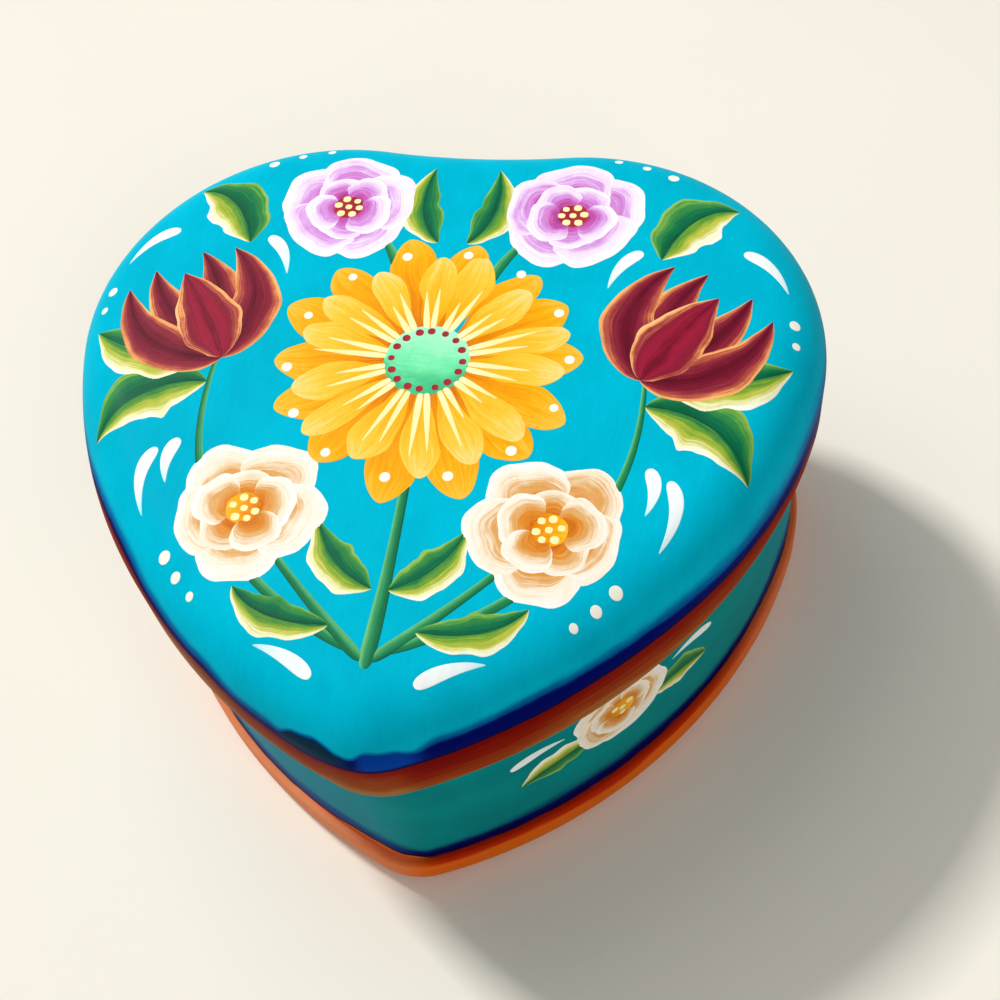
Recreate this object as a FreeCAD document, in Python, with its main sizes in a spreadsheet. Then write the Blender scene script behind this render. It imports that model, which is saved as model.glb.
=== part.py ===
import FreeCAD, Part
import math
import os
import Sketcher

# Heart-shaped wooden trinket box with a lift-off lid, sawn and glued from four pieces.
# The base board closes the heart-shaped wall ring, the lid board rests on the wall's rim, and a plug
# glued under the lid drops into the ring and keeps the lid from sliding off.
# The heart's notch points to +Y and its tip to -Y. The origin is on the table, under the middle of
# the lid's outline, and +Z is up. All lengths are in millimetres.

# Driving sizes. The heart is half a chain of tangent arcs, tip, side, lobe and notch, and its mirror.
SIZES = (
    ("lobe_offset", "17.2"),
    ("lobe_radius", "32.8"),
    ("lobe_to_tip", "50.2"),
    ("tip_radius", "11"),
    ("side_radius", "75"),
    ("notch_radius", "84"),
    ("base_thickness", "6"),
    ("base_overhang", "1.1"),
    ("base_round", "2"),
    ("base_upper_round", "0.6"),
    ("wall_height", "27"),
    ("wall_thickness", "7"),
    ("cavity_tip_radius", "4"),
    ("mouth_chamfer", "0.8"),
    ("lid_overhang", "2.4"),
    ("lid_thickness", "17.5"),
    ("lid_roundover", "8"),
    ("lid_lower_round", "1.5"),
    ("crown_radius", "900"),
    ("plug_depth", "5"),
    ("plug_clearance", "0.5"),
    ("plug_chamfer", "1"),
    ("cut_overrun", "5"),
)

# Sizes that follow from the driving ones.
DERIVED_SIZES = (
    ("tip_drop", "=(lobe_to_tip + lobe_radius - tip_radius) / 2"),
    ("half_width", "=lobe_offset + lobe_radius"),
    ("half_length", "=(lobe_to_tip + lobe_radius + tip_radius) / 2"),
    ("crown_reach", "=sqrt(half_width ^ 2 + half_length ^ 2) + cut_overrun"),
    ("wall_tip_radius", "=tip_radius - lid_overhang"),
    ("base_inset", "=lid_overhang - base_overhang"),
    ("base_tip_radius", "=tip_radius - base_inset"),
    ("cavity_inset", "=lid_overhang + wall_thickness"),
    ("plug_inset", "=cavity_inset + plug_clearance"),
    ("plug_tip_radius", "=cavity_tip_radius - plug_clearance"),
    ("lid_seat", "=base_thickness + wall_height"),
    ("plug_foot", "=lid_seat - plug_depth"),
)

# How a sketch names an arc's points, its own axes and its origin
START, END, CENTRE = range(1, 4)
X_AXIS, Y_AXIS = range(-1, -3, -1)
ORIGIN_POINT = (X_AXIS, START)

doc = FreeCAD.newDocument("HeartBox")
sheet = doc.addObject("Spreadsheet::Sheet", "Sizes")
for row, (alias, content) in enumerate(SIZES + DERIVED_SIZES, 1):
    sheet.set(f"A{row}", alias)
    sheet.set(f"B{row}", content)
    sheet.setAlias(f"B{row}", alias)
doc.recompute()


def size(alias):
    """A size of the sheet as a number."""
    return float(sheet.get(alias))


def less(alias, inset):
    """The expression of a size taken in by an inset, or of the size itself."""
    return f"Sizes.{alias} - Sizes.{inset}" if inset else f"Sizes.{alias}"


def new_body(label, foot=None):
    """A body whose local z = 0 stands at the height named foot, or on the table."""
    body = doc.addObject("PartDesign::Body", label)
    body.Label = label
    if foot:
        body.setExpression("Placement.Base.z", f"Sizes.{foot}")
    return body


def new_sketch(body, name, role):
    """A sketch on one of the body's own origin planes."""
    sketch = body.newObject("Sketcher::SketchObject", name)
    plane = next(feature for feature in body.Origin.OriginFeatures if feature.Role == role)
    sketch.AttachmentSupport = [(plane, "")]
    sketch.MapMode = "FlatFace"
    return sketch


def bind(sketch, expression, *constraint):
    """Add a dimension that follows an expression of the sheet's sizes."""
    index = sketch.addConstraint(Sketcher.Constraint(*constraint))
    sketch.setExpression(f"Constraints[{index}]", expression)


def towards(start, end, distance):
    """The point at a distance from start on the ray through end."""
    return start + (end - start).normalize() * distance


def mirrored(point):
    """The point's mirror image across the Y axis."""
    return FreeCAD.Vector(-point.x, point.y, point.z)


def arc(centre, start, end):
    """The arc about a centre that runs counter-clockwise from start to end."""
    up = FreeCAD.Vector(0, 0, 1)
    circle = Part.Circle(centre, up, (start - centre).Length)
    angles = [math.atan2(point.y - centre.y, point.x - centre.x) for point in (start, end)]
    return Part.ArcOfCircle(circle, *angles)


def heart_outline(sketch, tip_radius, inset=None):
    """Draw the heart's six tangent arcs, taken in by an inset, with a tip radius of its own."""
    step_in = size(inset) if inset else 0
    side_radius = size("side_radius") - step_in
    tip_anchor = FreeCAD.Vector(0, -size("tip_drop"), 0)
    lobe = tip_anchor + FreeCAD.Vector(size("lobe_offset"), size("lobe_to_tip"), 0)

    # The side's centre lies where the circles about the tip's and the lobe's centres cross
    to_tip = size("side_radius") - size("tip_radius")
    to_lobe = size("side_radius") - size("lobe_radius")
    spread = (lobe - tip_anchor).Length
    along = (to_tip ** 2 - to_lobe ** 2 + spread ** 2) / (2 * spread)
    across = math.sqrt(to_tip ** 2 - along ** 2)
    ahead = (lobe - tip_anchor).normalize()
    side = tip_anchor + ahead * along + FreeCAD.Vector(-ahead.y, ahead.x, 0) * across

    tip_reach = side_radius - size(tip_radius)
    tip = FreeCAD.Vector(0, side.y - math.sqrt(tip_reach ** 2 - side.x ** 2), 0)
    notch_reach = size("lobe_radius") + size("notch_radius")
    notch = FreeCAD.Vector(0, lobe.y + math.sqrt(notch_reach ** 2 - lobe.x ** 2), 0)
    tip_end = towards(side, tip, side_radius)
    side_end = towards(side, lobe, side_radius)
    lobe_end = towards(lobe, notch, size("lobe_radius") - step_in)

    first = sketch.GeometryCount
    sketch.addGeometry([
        arc(tip, mirrored(tip_end), tip_end),
        arc(side, tip_end, side_end),
        arc(lobe, side_end, lobe_end),
        arc(notch, mirrored(lobe_end), lobe_end),
        arc(mirrored(lobe), mirrored(lobe_end), mirrored(side_end)),
        arc(mirrored(side), mirrored(side_end), mirrored(tip_end)),
    ], False)
    tip_arc, right_side, right_lobe, notch_arc, left_lobe, left_side = range(first, first + 6)
    anchor = sketch.addGeometry(Part.Point(tip_anchor), True)

    joints = (
        (tip_arc, END, right_side, START),
        (right_side, END, right_lobe, START),
        (right_lobe, END, notch_arc, END),
        (notch_arc, START, left_lobe, START),
        (left_lobe, END, left_side, START),
        (left_side, END, tip_arc, START),
    )
    for joint in joints:
        sketch.addConstraint(Sketcher.Constraint("Tangent", *joint))
    sketch.addConstraint(Sketcher.Constraint("Equal", right_side, left_side))
    sketch.addConstraint(Sketcher.Constraint("Equal", right_lobe, left_lobe))
    sketch.addConstraint(Sketcher.Constraint("PointOnObject", anchor, START, Y_AXIS))
    sketch.addConstraint(
        Sketcher.Constraint("Symmetric", right_lobe, CENTRE, left_lobe, CENTRE, Y_AXIS))

    bind(sketch, "Sizes.tip_drop", "DistanceY", anchor, START, *ORIGIN_POINT, size("tip_drop"))
    bind(sketch, "Sizes.lobe_offset", "DistanceX", *ORIGIN_POINT, right_lobe, CENTRE, lobe.x)
    bind(sketch, "Sizes.lobe_to_tip", "DistanceY", anchor, START, right_lobe, CENTRE,
         size("lobe_to_tip"))
    for side_arc in (right_side, left_side):
        bind(sketch, "Sizes.side_radius - Sizes.tip_radius", "Distance",
             anchor, START, side_arc, CENTRE, to_tip)
    bind(sketch, f"Sizes.{tip_radius}", "Radius", tip_arc, size(tip_radius))
    bind(sketch, less("side_radius", inset), "Radius", right_side, side_radius)
    bind(sketch, less("lobe_radius", inset), "Radius", right_lobe, size("lobe_radius") - step_in)
    notch_expression = f"Sizes.notch_radius + Sizes.{inset}" if inset else "Sizes.notch_radius"
    bind(sketch, notch_expression, "Radius", notch_arc, size("notch_radius") + step_in)


def crown_profile(sketch):
    """Draw what the crown takes off the lid: the half section above a wide arc about the Z axis."""
    top = size("lid_thickness")
    reach = size("crown_reach")
    radius = size("crown_radius")
    ceiling = top + size("cut_overrun")
    centre = FreeCAD.Vector(0, top - radius, 0)
    apex = FreeCAD.Vector(0, top, 0)
    rim = FreeCAD.Vector(reach, centre.y + math.sqrt(radius ** 2 - reach ** 2), 0)
    corner = FreeCAD.Vector(reach, ceiling, 0)
    above_apex = FreeCAD.Vector(0, ceiling, 0)
    sketch.addGeometry([
        arc(centre, rim, apex),
        Part.LineSegment(rim, corner),
        Part.LineSegment(corner, above_apex),
        Part.LineSegment(above_apex, apex),
    ], False)
    crown, outside, over, axis_line = range(4)
    joints = (
        (crown, START, outside, START),
        (outside, END, over, START),
        (over, END, axis_line, START),
        (axis_line, END, crown, END),
    )
    for joint in joints:
        sketch.addConstraint(Sketcher.Constraint("Coincident", *joint))
    sketch.addConstraint(Sketcher.Constraint("Vertical", outside))
    sketch.addConstraint(Sketcher.Constraint("Horizontal", over))
    sketch.addConstraint(Sketcher.Constraint("Vertical", axis_line))
    sketch.addConstraint(Sketcher.Constraint("PointOnObject", crown, CENTRE, Y_AXIS))
    sketch.addConstraint(Sketcher.Constraint("PointOnObject", crown, END, Y_AXIS))
    bind(sketch, "Sizes.crown_radius", "Radius", crown, radius)
    bind(sketch, "Sizes.lid_thickness", "DistanceY", *ORIGIN_POINT, crown, END, top)
    bind(sketch, "Sizes.crown_reach", "DistanceX", *ORIGIN_POINT, crown, START, reach)
    bind(sketch, "Sizes.cut_overrun", "DistanceY", crown, END, over, END, size("cut_overrun"))


def pad(body, sketch, length):
    """Raise the sketch's outline by the size named length."""
    feature = body.newObject("PartDesign::Pad", f"{body.Label}_pad")
    feature.Profile = sketch
    feature.setExpression("Length", f"Sizes.{length}")
    doc.recompute()
    return feature


def top_face(feature):
    """The feature's highest face."""
    return max(feature.Shape.Faces, key=lambda face: face.CenterOfMass.z)


def bottom_face(feature):
    """The feature's lowest face."""
    return min(feature.Shape.Faces, key=lambda face: face.CenterOfMass.z)


def border(face):
    """The edges round a face, without the seam or the pole of a curved one."""
    return [edge for edge in face.Edges if not edge.Degenerated and not edge.isSeam(face)]


def dress(body, kind, base, edges, dimension, expression):
    """Round or bevel the edges of a feature by a dimension bound to an expression."""
    names = [f"Edge{number}" for number, edge in enumerate(base.Shape.Edges, 1)
             if any(edge.isSame(chosen) for chosen in edges)]
    feature = body.newObject(f"PartDesign::{kind}", f"{body.Label}_{kind.lower()}")
    feature.Base = (base, names)
    feature.setExpression(dimension, expression)
    doc.recompute()
    if not feature.Shape.Volume < base.Shape.Volume:
        raise RuntimeError(f"{feature.Name} takes nothing off {body.Label}")
    return feature


def make_base_board():
    """The bottom board, standing out all round under the wall, its edges rounded."""
    body = new_body("base_board")
    outline = new_sketch(body, "base_outline", "XY_Plane")
    heart_outline(outline, "base_tip_radius", "base_inset")
    board = pad(body, outline, "base_thickness")
    rounded = dress(body, "Fillet", board, border(bottom_face(board)), "Radius", "Sizes.base_round")
    dress(body, "Fillet", rounded, border(top_face(rounded)), "Radius", "Sizes.base_upper_round")
    return body


def make_box_wall():
    """The wall ring, its mouth bevelled so that the plug finds its way in."""
    body = new_body("box_wall", "base_thickness")
    outline = new_sketch(body, "wall_outline", "XY_Plane")
    heart_outline(outline, "wall_tip_radius", "lid_overhang")
    heart_outline(outline, "cavity_tip_radius", "cavity_inset")
    ring = pad(body, outline, "wall_height")
    rim = top_face(ring)
    mouth = [edge for wire in rim.Wires if not wire.isSame(rim.OuterWire) for edge in wire.Edges]
    dress(body, "Chamfer", ring, mouth, "Size", "Sizes.mouth_chamfer")
    return body


def make_lid_board():
    """The lid: a thick heart with a gently crowned top, a wide roundover and a softened lower edge."""
    body = new_body("lid_board", "lid_seat")
    outline = new_sketch(body, "lid_outline", "XY_Plane")
    heart_outline(outline, "tip_radius")
    blank = pad(body, outline, "lid_thickness")
    profile = new_sketch(body, "crown_section", "XZ_Plane")
    crown_profile(profile)
    crown = body.newObject("PartDesign::Groove", "lid_crown")
    crown.Profile = profile
    crown.ReferenceAxis = (profile, ["V_Axis"])
    doc.recompute()
    if not crown.Shape.Volume < blank.Shape.Volume:
        raise RuntimeError("the crown takes nothing off the lid")
    rounded = dress(body, "Fillet", crown, border(top_face(crown)), "Radius", "Sizes.lid_roundover")
    dress(body, "Fillet", rounded, border(bottom_face(rounded)), "Radius", "Sizes.lid_lower_round")
    return body


def make_lid_plug():
    """The plug under the lid, clear of the wall all round, its lower edge bevelled."""
    body = new_body("lid_plug", "plug_foot")
    outline = new_sketch(body, "plug_outline", "XY_Plane")
    heart_outline(outline, "plug_tip_radius", "plug_inset")
    board = pad(body, outline, "plug_depth")
    dress(body, "Chamfer", board, border(bottom_face(board)), "Size", "Sizes.plug_chamfer")
    return body


pieces = [make_base_board(), make_box_wall(), make_lid_board(), make_lid_plug()]
doc.recompute()
for item in doc.Objects:
    if {"Invalid", "Error"} & set(item.State):
        raise RuntimeError(f"{item.Name} failed: {item.State}")
for piece in pieces:
    if piece.Shape.isNull() or not piece.Shape.isValid() or len(piece.Shape.Solids) != 1:
        raise RuntimeError(f"{piece.Label} isn't one valid solid")

os.makedirs("parts", exist_ok=True)
for piece in pieces:
    piece.Shape.exportStep(f"parts/{piece.Label}.step")
    box = piece.Shape.optimalBoundingBox()
    print(f"{piece.Label}: {piece.Shape.Volume:.0f} mm3,"
          f" x {box.XMin:.2f} to {box.XMax:.2f}, y {box.YMin:.2f} to {box.YMax:.2f},"
          f" z {box.ZMin:.2f} to {box.ZMax:.2f}")
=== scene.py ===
import logging
import math
from dataclasses import dataclass, replace
from enum import Enum
from typing import Optional, Sequence, Union

import bpy
import numpy as np
from mathutils import Matrix, Vector


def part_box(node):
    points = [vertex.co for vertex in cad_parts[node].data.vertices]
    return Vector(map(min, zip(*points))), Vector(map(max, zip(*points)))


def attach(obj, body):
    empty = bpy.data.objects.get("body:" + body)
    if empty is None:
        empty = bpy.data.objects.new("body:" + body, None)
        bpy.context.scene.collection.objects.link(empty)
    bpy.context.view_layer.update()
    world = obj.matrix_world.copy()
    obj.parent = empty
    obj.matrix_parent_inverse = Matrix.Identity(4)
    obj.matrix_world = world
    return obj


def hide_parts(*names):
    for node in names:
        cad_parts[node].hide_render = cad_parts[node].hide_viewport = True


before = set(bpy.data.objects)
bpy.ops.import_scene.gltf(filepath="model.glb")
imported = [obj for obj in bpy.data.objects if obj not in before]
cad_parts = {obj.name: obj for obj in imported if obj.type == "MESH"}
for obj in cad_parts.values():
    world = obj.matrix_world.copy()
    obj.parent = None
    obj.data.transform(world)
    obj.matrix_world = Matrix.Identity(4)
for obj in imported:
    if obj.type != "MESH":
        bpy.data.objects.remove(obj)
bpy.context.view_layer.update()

# A heart-shaped wooden trinket box: turquoise paint shaded dark blue at the rims, red-orange bands,
# and a folk spray of flowers brushed on in thick paint under a satin varnish.
# Plans, profiles and strokes are in millimetres in the frame's axes, and meshes are in metres.
MM = 0.001
QUARTER_TURN = math.pi / 2
FULL_TURN = 2 * math.pi
NOISE_MIDDLE = 0.5
Array = np.ndarray
Point = tuple[float, float]
Span = tuple[float, float]
Triple = tuple[float, float, float]
Colour = tuple[float, float, float, float]
Stops = Sequence[tuple[float, Colour]]
Knots = tuple[tuple[float, float], ...]
MIRROR_ACROSS_X = np.array([1.0, -1.0])
MIRROR_ACROSS_Y = np.array([-1.0, 1.0])
log = logging.getLogger("heart_box")


def srgb(red: int, green: int, blue: int) -> Colour:
    """Turn a screen colour of 0 to 255 into the linear light that a shader takes.

    Args:
        red: Red part of the screen colour.
        green: Green part of the screen colour.
        blue: Blue part of the screen colour.

    Returns:
        The linear colour with full alpha.
    """
    parts = np.array([red, green, blue]) / 255
    linear = np.where(parts <= 0.04045, parts / 12.92, ((parts + 0.055) / 1.055) ** 2.4)
    return (*map(float, linear), 1.0)


def node_span(node: str) -> tuple[Vector, Vector]:
    """Give a CAD node's lowest and highest corner in millimetres."""
    low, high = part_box(node)
    return low / MM, high / MM


class Value:
    """What a node gives; arithmetic on a number adds Math nodes."""

    def __init__(self, paint: "Paint", socket: Optional[bpy.types.NodeSocket]) -> None:
        """Keep the tree's builder and the socket that carries the value, if there is one."""
        self.paint = paint
        self.socket = socket

    def _math(self, operation: str, first: "Number", second: "Number") -> "Value":
        """Add a Math node that takes two numbers."""
        return self.paint.node("ShaderNodeMath", {"operation": operation}, {0: first, 1: second})

    def __add__(self, other: "Number") -> "Value":
        """Add a number or value."""
        return self._math("ADD", self, other)

    def __radd__(self, other: "Number") -> "Value":
        """Add this value to a number."""
        return self._math("ADD", other, self)

    def __sub__(self, other: "Number") -> "Value":
        """Take a number or value away."""
        return self._math("SUBTRACT", self, other)

    def __rsub__(self, other: "Number") -> "Value":
        """Take this value away from a number."""
        return self._math("SUBTRACT", other, self)

    def __mul__(self, other: "Number") -> "Value":
        """Multiply by a number or value."""
        return self._math("MULTIPLY", self, other)

    def __rmul__(self, other: "Number") -> "Value":
        """Multiply a number by this value."""
        return self._math("MULTIPLY", other, self)

    def __truediv__(self, other: "Number") -> "Value":
        """Divide by a number or value."""
        return self._math("DIVIDE", self, other)

    def __rtruediv__(self, other: "Number") -> "Value":
        """Divide a number by this value."""
        return self._math("DIVIDE", other, self)

    def either(self, other: "Number") -> "Value":
        """Give the larger of two values, which is 1 where either of two marks is."""
        return self._math("MAXIMUM", self, other)

    def swing(self, reach: float) -> "Value":
        """Take noise, which lies about its middle, as a swing to both sides of 0."""
        return (self - NOISE_MIDDLE) * reach


Number = Union[float, Value]
Tint = Union[Colour, Value]


@dataclass(frozen=True)
class Sheen:
    """How a surface shines.

    Its least roughness, what unevenness adds to that, the depth of its fine relief in millimetres, and
    the level of its reflections, 0.5 for plain varnish.
    """

    roughness: float
    uneven: float
    relief_depth: float
    gloss: float


class Paint:
    """The node tree of a material or a world, and the few helpers that fill it."""

    mix_factor: int = 0
    mix_first: int = 6
    mix_second: int = 7
    mix_result: int = 2

    def __init__(self, owner: Union[bpy.types.Material, bpy.types.World]) -> None:
        """Empty the tree of a material or world.

        Args:
            owner: The material or world.
        """
        owner.use_nodes = True
        self.owner = owner
        self.tree = owner.node_tree
        self.tree.nodes.clear()

    @classmethod
    def named(cls, name: str) -> "Paint":
        """Start an empty material under a name."""
        return cls(bpy.data.materials.new(name))

    def node(self, kind: str, settings: Optional[dict] = None, inputs: Optional[dict] = None,
             output: Union[int, str] = 0) -> Value:
        """Add any node, with its settings made before its sockets are filled.

        Args:
            kind: The node's type.
            settings: Attributes of the node; "stops" fills a colour ramp.
            inputs: Socket names or numbers, each with a constant or a value to link.
            output: Name or number of the output to return.

        Returns:
            The chosen output as a value, which has no socket if the node closes the tree.
        """
        added = self.tree.nodes.new(kind)
        for key, setting in (settings or {}).items():
            if key == "stops":
                self._set_stops(added.color_ramp, setting)
            else:
                setattr(added, key, setting)
        for key, content in (inputs or {}).items():
            if isinstance(content, Value):
                self.tree.links.new(content.socket, added.inputs[key])
            else:
                added.inputs[key].default_value = content
        return Value(self, added.outputs[output] if added.outputs else None)

    @staticmethod
    def _set_stops(ramp: bpy.types.ColorRamp, stops: Stops) -> None:
        """Fill a new colour ramp.

        Args:
            ramp: The ramp.
            stops: Places and colours in rising order.
        """
        ramp.elements.remove(ramp.elements[-1])
        for number, (place, colour) in enumerate(stops):
            element = ramp.elements[0] if number == 0 else ramp.elements.new(place)
            element.position = place
            element.color = colour

    def attribute(self, name: str) -> Value:
        """Read a number that the mesh carries at its points."""
        return self.node("ShaderNodeAttribute", {"attribute_name": name}, output="Fac")

    def place(self, cells: Triple, turn: float = 0.0) -> Value:
        """Give object coordinates, turned about Z and then counted in cells along each axis.

        Args:
            cells: Cells to the millimetre along X, Y and Z.
            turn: The turn in radians.

        Returns:
            The place as a vector.
        """
        coordinates = self.node("ShaderNodeTexCoord", output="Object")
        turned = self.node("ShaderNodeMapping", inputs={0: coordinates, "Rotation": (0.0, 0.0, turn)})
        scale = tuple(part / MM for part in cells)
        return self.node("ShaderNodeVectorMath", {"operation": "MULTIPLY"}, {0: turned, 1: scale})

    def combine(self, x: Number, y: Number, z: Number) -> Value:
        """Make a vector of three numbers."""
        return self.node("ShaderNodeCombineXYZ", inputs={0: x, 1: y, 2: z})

    def axis(self, vector: Value, name: str) -> Value:
        """Take one coordinate, X, Y or Z, out of a vector."""
        return self.node("ShaderNodeSeparateXYZ", inputs={0: vector}, output=name)

    def noise(self, vector: Value, detail: float = 2.0, roughness: float = 0.5) -> Value:
        """Give smooth noise about 0.5, with cells one unit of the vector wide."""
        return self.node("ShaderNodeTexNoise", inputs={
            "Vector": vector, "Scale": 1.0, "Detail": detail, "Roughness": roughness})

    def smooth(self, value: Value, border: Span) -> Value:
        """Rise smoothly from 0 where the value is at the border's start to 1 where it is at its end."""
        return self.node("ShaderNodeMapRange", {"interpolation_type": "SMOOTHSTEP"},
                         {0: value, 1: border[0], 2: border[1]})

    @staticmethod
    def weighed(first: Value, second: Value, share: float) -> Value:
        """Add two values up, the first by its share and the second by what is left."""
        return first * share + second * (1 - share)

    def ramp(self, value: Value, stops: Stops) -> Value:
        """Colour a value by stops."""
        return self.node("ShaderNodeValToRGB", {"stops": stops}, {0: value})

    def mix(self, factor: Number, first: Tint, second: Tint, blend: str = "MIX") -> Value:
        """Mix two colours by a factor, or blend them in another way."""
        return self.node("ShaderNodeMix", {"data_type": "RGBA", "blend_type": blend},
                         {self.mix_factor: factor, self.mix_first: first, self.mix_second: second},
                         self.mix_result)

    def tone(self, colour: Tint, factor: Value) -> Value:
        """Multiply a colour by a number that varies about 1."""
        return self.mix(1.0, colour, self.combine(factor, factor, factor), "MULTIPLY")

    def finish(self, colour: Value, uneven: Value, relief: Value, sheen: Sheen) -> bpy.types.Material:
        """Close the material with a surface of paint or wood.

        Args:
            colour: The base colour.
            uneven: What makes the roughness uneven, about 0 to 1.
            relief: Height of the fine relief, about 0 to 1.
            sheen: How the surface shines.

        Returns:
            The finished material.
        """
        normal = self.node("ShaderNodeBump", inputs={
            "Strength": 1.0, "Distance": sheen.relief_depth * MM, "Height": relief})
        shader = self.node("ShaderNodeBsdfPrincipled", inputs={
            "Base Color": colour, "Roughness": sheen.roughness + sheen.uneven * uneven, "Normal": normal,
            "Specular IOR Level": sheen.gloss})
        self.node("ShaderNodeOutputMaterial", inputs={"Surface": shader})
        return self.owner


@dataclass(frozen=True)
class Mottling:
    """Noise over a piece: cells to the millimetre along each axis, after a turn about Z in radians."""

    cells: Triple
    detail: float = 2.0
    roughness: float = 0.5
    turn: float = 0.0

    def value(self, paint: Paint) -> Value:
        """Give the noise, about 0 to 1."""
        return paint.noise(paint.place(self.cells, self.turn), self.detail, self.roughness)


GROUND_GRAIN = Mottling((2.3, 0.28, 0.6), 3.0, 0.6, 0.12)
SIDE_GRAIN = Mottling((0.5, 0.5, 2.6), 3.0, 0.6)


@dataclass(frozen=True)
class BareWood:
    """Sanded pale wood with long grain along the Y axis."""

    pale: Colour = srgb(226, 192, 144)
    dark: Colour = srgb(194, 150, 100)
    growth: Mottling = Mottling((0.4, 0.025, 0.4), 4.0, 0.55, 0.06)
    growth_border: Span = (0.35, 0.65)
    pores: Mottling = Mottling((4.0, 0.25, 4.0), turn=0.06)
    pore_tone: float = 0.24
    bare_border: Span = (0.4, 0.6)
    sheen: Sheen = Sheen(roughness=0.55, uneven=0.2, relief_depth=0.03, gloss=0.3)

    def colour(self, paint: Paint) -> Value:
        """Give the wood's colour: wide bands of growth under fine pores, both drawn out along the grain.

        Args:
            paint: The material.

        Returns:
            The colour.
        """
        growth = paint.smooth(self.growth.value(paint), self.growth_border)
        wood = paint.mix(growth, self.dark, self.pale)
        return paint.tone(wood, 1 + self.pores.value(paint).swing(self.pore_tone))

    def showing(self, paint: Paint, painted: Value, fray: Value) -> Value:
        """Let the wood show where the mesh is bare, past a frayed border of the paint."""
        bare = paint.smooth(paint.attribute("bare") + fray, self.bare_border)
        return paint.mix(bare, painted, self.colour(paint))

    def material(self) -> bpy.types.Material:
        """Build the unpainted wood.

        Returns:
            The material.
        """
        paint = Paint.named("sanded_wood")
        pores = self.pores.value(paint)
        return paint.finish(self.colour(paint), pores, pores, self.sheen)


@dataclass(frozen=True)
class Coat:
    """What painted pieces share: bare wood past frayed borders, marks of bristles, and varnish.

    Bare_fray is how far the brush's streaks shift the border of the bare wood, grain_tone how much the
    bristles change the colour, and grain_share the bristles' part of the relief.
    """

    bare_fray: float
    grain: Mottling
    grain_tone: float
    grain_share: float
    sheen: Sheen
    wood: BareWood = BareWood()

    def material(self, paint: Paint, painted: Value, streak: Value) -> bpy.types.Material:
        """Finish a painted piece.

        Args:
            paint: The material so far.
            painted: The colour of the paint.
            streak: The brush's streaks, about 0 to 1.

        Returns:
            The finished material.
        """
        grain = self.grain.value(paint)
        colour = self.wood.showing(paint, painted, streak.swing(self.bare_fray))
        toned = paint.tone(colour, 1 + grain.swing(self.grain_tone))
        return paint.finish(toned, grain, paint.weighed(grain, streak, self.grain_share), self.sheen)


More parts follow.
